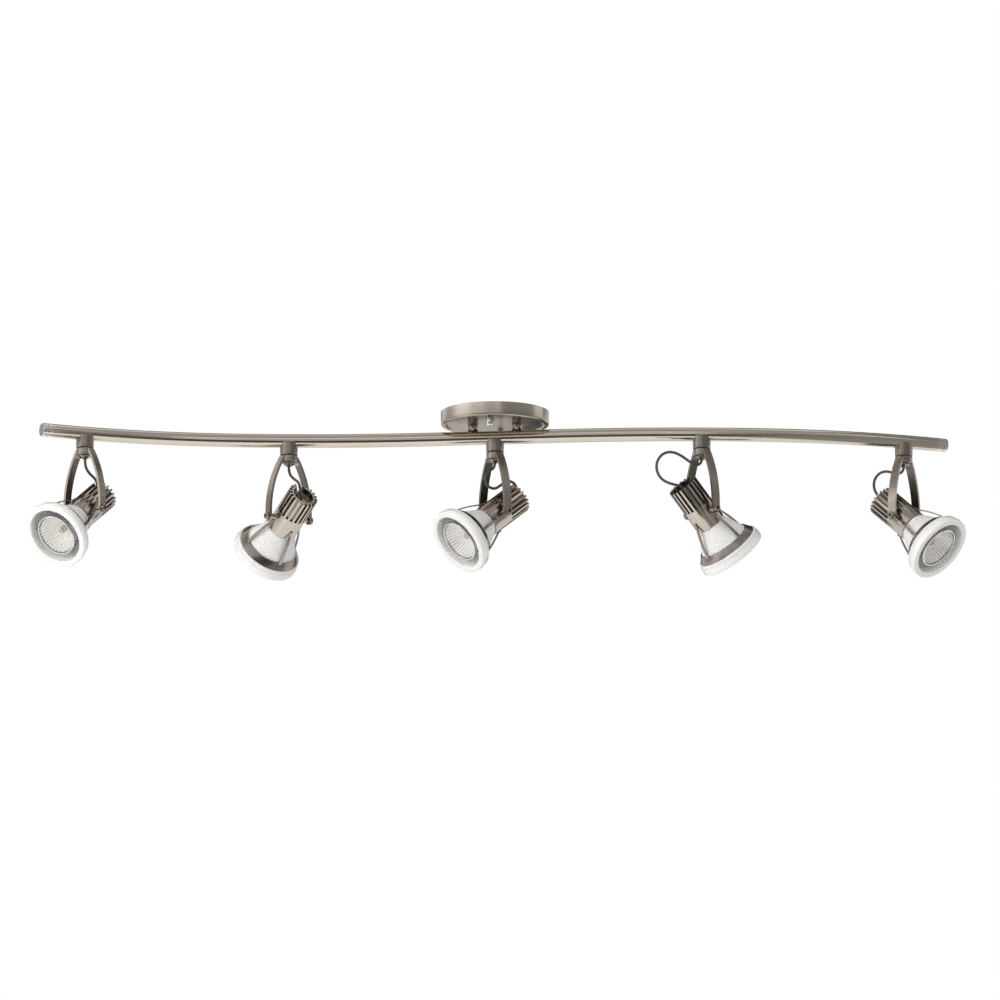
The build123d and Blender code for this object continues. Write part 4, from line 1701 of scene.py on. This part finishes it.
@dataclass(frozen=True)
class HeadPiece:
    """How one piece of every lamp head is made, named, dressed and carried, and which solids it stands for."""

    make: Callable[[], Piece]
    name: str
    finish: str
    slot: str
    carrier: Carrier
    node: str | None = None


@dataclass
class HeadSet:
    """The five heads, each piece modelled once and copied to its places."""

    materials: Materials
    places: Sequence[HeadPlace]

    def spread(self, row: HeadPiece) -> None:
        """Model a piece and put a copy of it at every head.

        Args:
            row: The piece.
        """
        piece = keep_own(row.make())
        for place in self.places:
            twin = copied(piece, f"{row.name}_{place.number}", row.carrier.frame(place))
            nodes = [f"{row.node}_{place.number}"] if row.node else []
            settle(twin, self.materials[row.finish], row.carrier.body(place), nodes)
        bpy.data.objects.remove(piece)

    def build(self) -> None:
        """Model, dress and place everything that hangs from the bar."""
        mount, head = SwivelMount(), LampHead()
        bar, yoke, nod = Carrier.BAR, Carrier.YOKE, Carrier.HEAD
        for row in (
            HeadPiece(mount.collar, "saddle_collar", "collar_nickel_painted_shade", "brushed_nickel", bar, "collar"),
            HeadPiece(mount.bush, "flange_bush", "dark_nickel", "polished_nickel", bar, "swivel_bush"),
            HeadPiece(mount.washer, "swivel_ring", "black_nylon", "dark_washer", bar),
            HeadPiece(mount.yoke, "bowed_yoke", "flat_nickel_painted_shade", "brushed_nickel", yoke, "yoke"),
            HeadPiece(head.barrel, "finned_barrel", "cast_nickel", "nickel_aluminium", nod, "heat_sink"),
            HeadPiece(head.screws, "socket_screws", "dark_nickel", "polished_nickel", nod, "pivot_screws"),
            HeadPiece(head.guard, "guard_cage", "guard_nickel", "brushed_nickel", nod, "guard"),
            HeadPiece(head.glass, "lipped_cone", "frosted_glass", "frosted_glass", nod, "glass_cone"),
            HeadPiece(head.shell, "lamp_shell", "shell_mirror", "lamp_mirror", nod, "reflector_lamp"),
            HeadPiece(head.reflector, "lamp_dish", "dish_mirror", "lamp_mirror", nod),
            HeadPiece(head.front_lens, "lamp_lens", "lens_glass", "frosted_glass", nod),
            HeadPiece(head.burner, "lamp_burner", "capsule_glass", "frosted_glass", nod),
            HeadPiece(head.coil, "lamp_coil", "filament", "zinc_steel", nod),
        ):
            self.spread(row)
        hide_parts("swivel_washers")
        for place in self.places:
            paint(frame["nodes"][f"lamp_holder_{place.number}"], self.materials["ceramic"])
            Lead(place).build(self.materials)


@dataclass
class Studio:
    """Camera, pale floor and soft light, with cards that only metal mirrors; places and sizes are in metres."""

    azimuth: float = 8.0
    elevation: float = -11.5
    distance: float = 15.0
    frame_width: float = 1.172
    bar_centre: Place = (0.0, 0.0, -0.0305)
    offset: Point = (0.00586, -0.073)
    target: Place = (0.0, 0.0, -0.08)
    floor_size: float = 14.0
    floor_height: float = -2.0
    floor_colour: Colour = (0.86, 0.86, 0.85)
    floor_glow: float = 0.55
    room_light: float = 0.66
    cards: tuple[tuple[str, Place, Point, float], ...] = (
        ("front_card", (0.0, -2.0, -0.9), (4.4, 1.6), 0.1),
        ("back_card", (0.2, 1.6, 1.15), (3.8, 1.7), 0.04),
        ("under_card", (-0.06, 0.65, -0.17), (0.7, 0.3), 0.72),
        ("dusk_card", (0.07, 0.5, -0.14), (0.24, 0.24), 0.06),
        ("side_card", (2.0, -0.35, 0.2), (1.4, 1.3), 0.35),
        ("right_card", (1.15, -0.4, -0.05), (0.7, 1.0), 0.36),
        ("wall_card", (1.35, -1.2, 0.35), (2.0, 1.3), 0.34),
        ("brow_card", (-0.05, -2.6, 0.65), (1.1, 0.9), 0.6),
        ("end_card", (-1.4, 0.37, 0.1), (0.6, 0.6), 0.48),
        ("left_box", (-2.6, -1.3, 0.4), (1.8, 1.8), 1.5),
        ("low_card", (0.86, -0.35, -0.65), (1.2, 0.9), 0.4),
        ("high_card", (0.95, 0.1, 0.8), (0.7, 0.8), 0.3),
        ("top_card", (-0.2, -0.7, 1.6), (3.4, 1.6), 0.5),
    )
    lights: tuple[tuple[str, Place, Point, float], ...] = (
        ("key", (-2.4, -2.6, -0.1), (2.4, 1.8), 66.0),
        ("top", (-0.8, -1.2, 2.0), (2.0, 1.4), 8.0),
        ("fill", (2.2, -1.6, 0.2), (1.6, 1.6), 4.0),
    )

    def camera(self) -> None:
        """A long lens a little below the bar, level with the photograph's frame."""
        turn, lift = math.radians(self.azimuth), math.radians(self.elevation)
        back = Vector((math.sin(turn) * math.cos(lift), -math.cos(turn) * math.cos(lift), math.sin(lift)))
        right = Vector((math.cos(turn), math.sin(turn), 0))
        up = back.cross(right)
        aim = Vector(self.bar_centre) + right * self.offset[0] + up * self.offset[1]
        data = bpy.data.cameras.new("camera")
        data.lens = data.sensor_width * self.distance / self.frame_width
        data.clip_end = 120.0
        camera = bpy.data.objects.new("camera", data)
        axes = Matrix((right, up, back)).transposed().to_4x4()
        camera.matrix_world = Matrix.Translation(aim + back * self.distance) @ axes
        bpy.context.scene.collection.objects.link(camera)
        bpy.context.scene.camera = camera

    def seen(self, tree: bpy.types.NodeTree) -> Socket:
        """What the picture, the metal and the glass look at.

        Args:
            tree: Node tree that gets the nodes.

        Returns:
            One for camera, glossy and transmission rays, and nothing for the rest.
        """
        rays = tree.nodes.new("ShaderNodeLightPath")
        level = rays.outputs["Is Camera Ray"]
        for name in ("Is Glossy Ray", "Is Transmission Ray"):
            more = tree.nodes.new("ShaderNodeMath")
            more.operation = "MAXIMUM"
            tree.links.new(level, more.inputs[0])
            tree.links.new(rays.outputs[name], more.inputs[1])
            level = more.outputs[0]
        return level

    def floor(self) -> None:
        """A wide pale floor well under the fixture, which still takes a shadow and is clear from below."""
        blank_selection()
        bpy.ops.mesh.primitive_plane_add(size=self.floor_size, location=(0, 0, self.floor_height))
        floor = bpy.context.object
        floor.name = "floor"
        shader = Shader("pale_floor")
        glow = shader.ranged(self.seen(shader.tree), UNIT, (0.0, self.floor_glow))
        shader.set(Base_Color=(*self.floor_colour, 1), Roughness=0.8, Emission_Color=(1, 1, 1, 1),
                   Emission_Strength=glow)
        under = shader.node("NewGeometry").outputs["Backfacing"]
        clear = shader.node("BsdfTransparent").outputs[0]
        open_floor = shader.node("MixShader", {0: under, 1: shader.surface.outputs[0], 2: clear})
        shader.put(shader.tree.nodes["Material Output"], 0, open_floor.outputs[0])
        paint(floor, shader.material)

    def world(self) -> None:
        """A white room at a plain level of light."""
        world = bpy.data.worlds.new("studio")
        bpy.context.scene.world = world
        world.use_nodes = True
        tree = world.node_tree
        sky = tree.nodes["Background"]
        level = tree.nodes.new("ShaderNodeMapRange")
        level.inputs["To Min"].default_value = self.room_light
        tree.links.new(self.seen(tree), level.inputs["Value"])
        sky.inputs["Color"].default_value = (1, 1, 1, 1)
        tree.links.new(level.outputs[0], sky.inputs["Strength"])

    def facing(self, place: Place, axis: str) -> Euler:
        """The turn that points one axis of a thing at the fixture."""
        return (Vector(self.target) - Vector(place)).to_track_quat(axis, "Y").to_euler()

    def card(self, name: str, place: Place, size: Point, level: float) -> None:
        """A card that faces the fixture and is seen by glossy rays alone, for metal to mirror.

        Args:
            name: Its name.
            place: Its middle.
            size: Its width and height.
            level: How bright it looks, where 1 is as white as the room.
        """
        blank_selection()
        bpy.ops.mesh.primitive_plane_add(size=1.0, location=place, rotation=self.facing(place, "Z"))
        card = bpy.context.object
        card.name = name
        card.scale = (*size, 1.0)
        for ray in ("camera", "diffuse", "transmission", "shadow"):
            setattr(card, f"visible_{ray}", False)
        shader = Shader(name)
        shader.set(Base_Color=(0, 0, 0, 1), Roughness=0.9, Specular_IOR_Level=0.0, Emission_Color=(1, 1, 1, 1),
                   Emission_Strength=level)
        paint(card, shader.material)

    def light(self, name: str, place: Place, size: Point, power: float) -> None:
        """One soft box that faces the fixture, and that metal doesn't mirror.

        Args:
            name: Its name.
            place: Where it stands.
            size: Its width and height.
            power: Its power in watts.
        """
        data = bpy.data.lights.new(name, "AREA")
        data.shape = "RECTANGLE"
        data.size, data.size_y = size
        data.energy = power
        lamp = bpy.data.objects.new(name, data)
        lamp.location = place
        lamp.visible_glossy = False
        lamp.rotation_euler = self.facing(place, "-Z")
        bpy.context.scene.collection.objects.link(lamp)

    def build(self) -> None:
        """Set up the studio."""
        bpy.context.scene.view_settings.view_transform = "Standard"
        self.camera()
        self.floor()
        self.world()
        for row in self.cards:
            self.card(*row)
        for row in self.lights:
            self.light(*row)


def main() -> None:
    """Build the fixture and its studio."""
    logging.basicConfig(level=logging.INFO, format="%(message)s")
    materials = {finish.name: finish.material() for finish in FINISHES}
    Studio().build()
    CeilingMount().build(materials)
    WaveBar().build(materials)
    HeadSet(materials, [HeadPlace.read(number) for number in HEADS]).build()


if __name__ == "__main__":
    main()
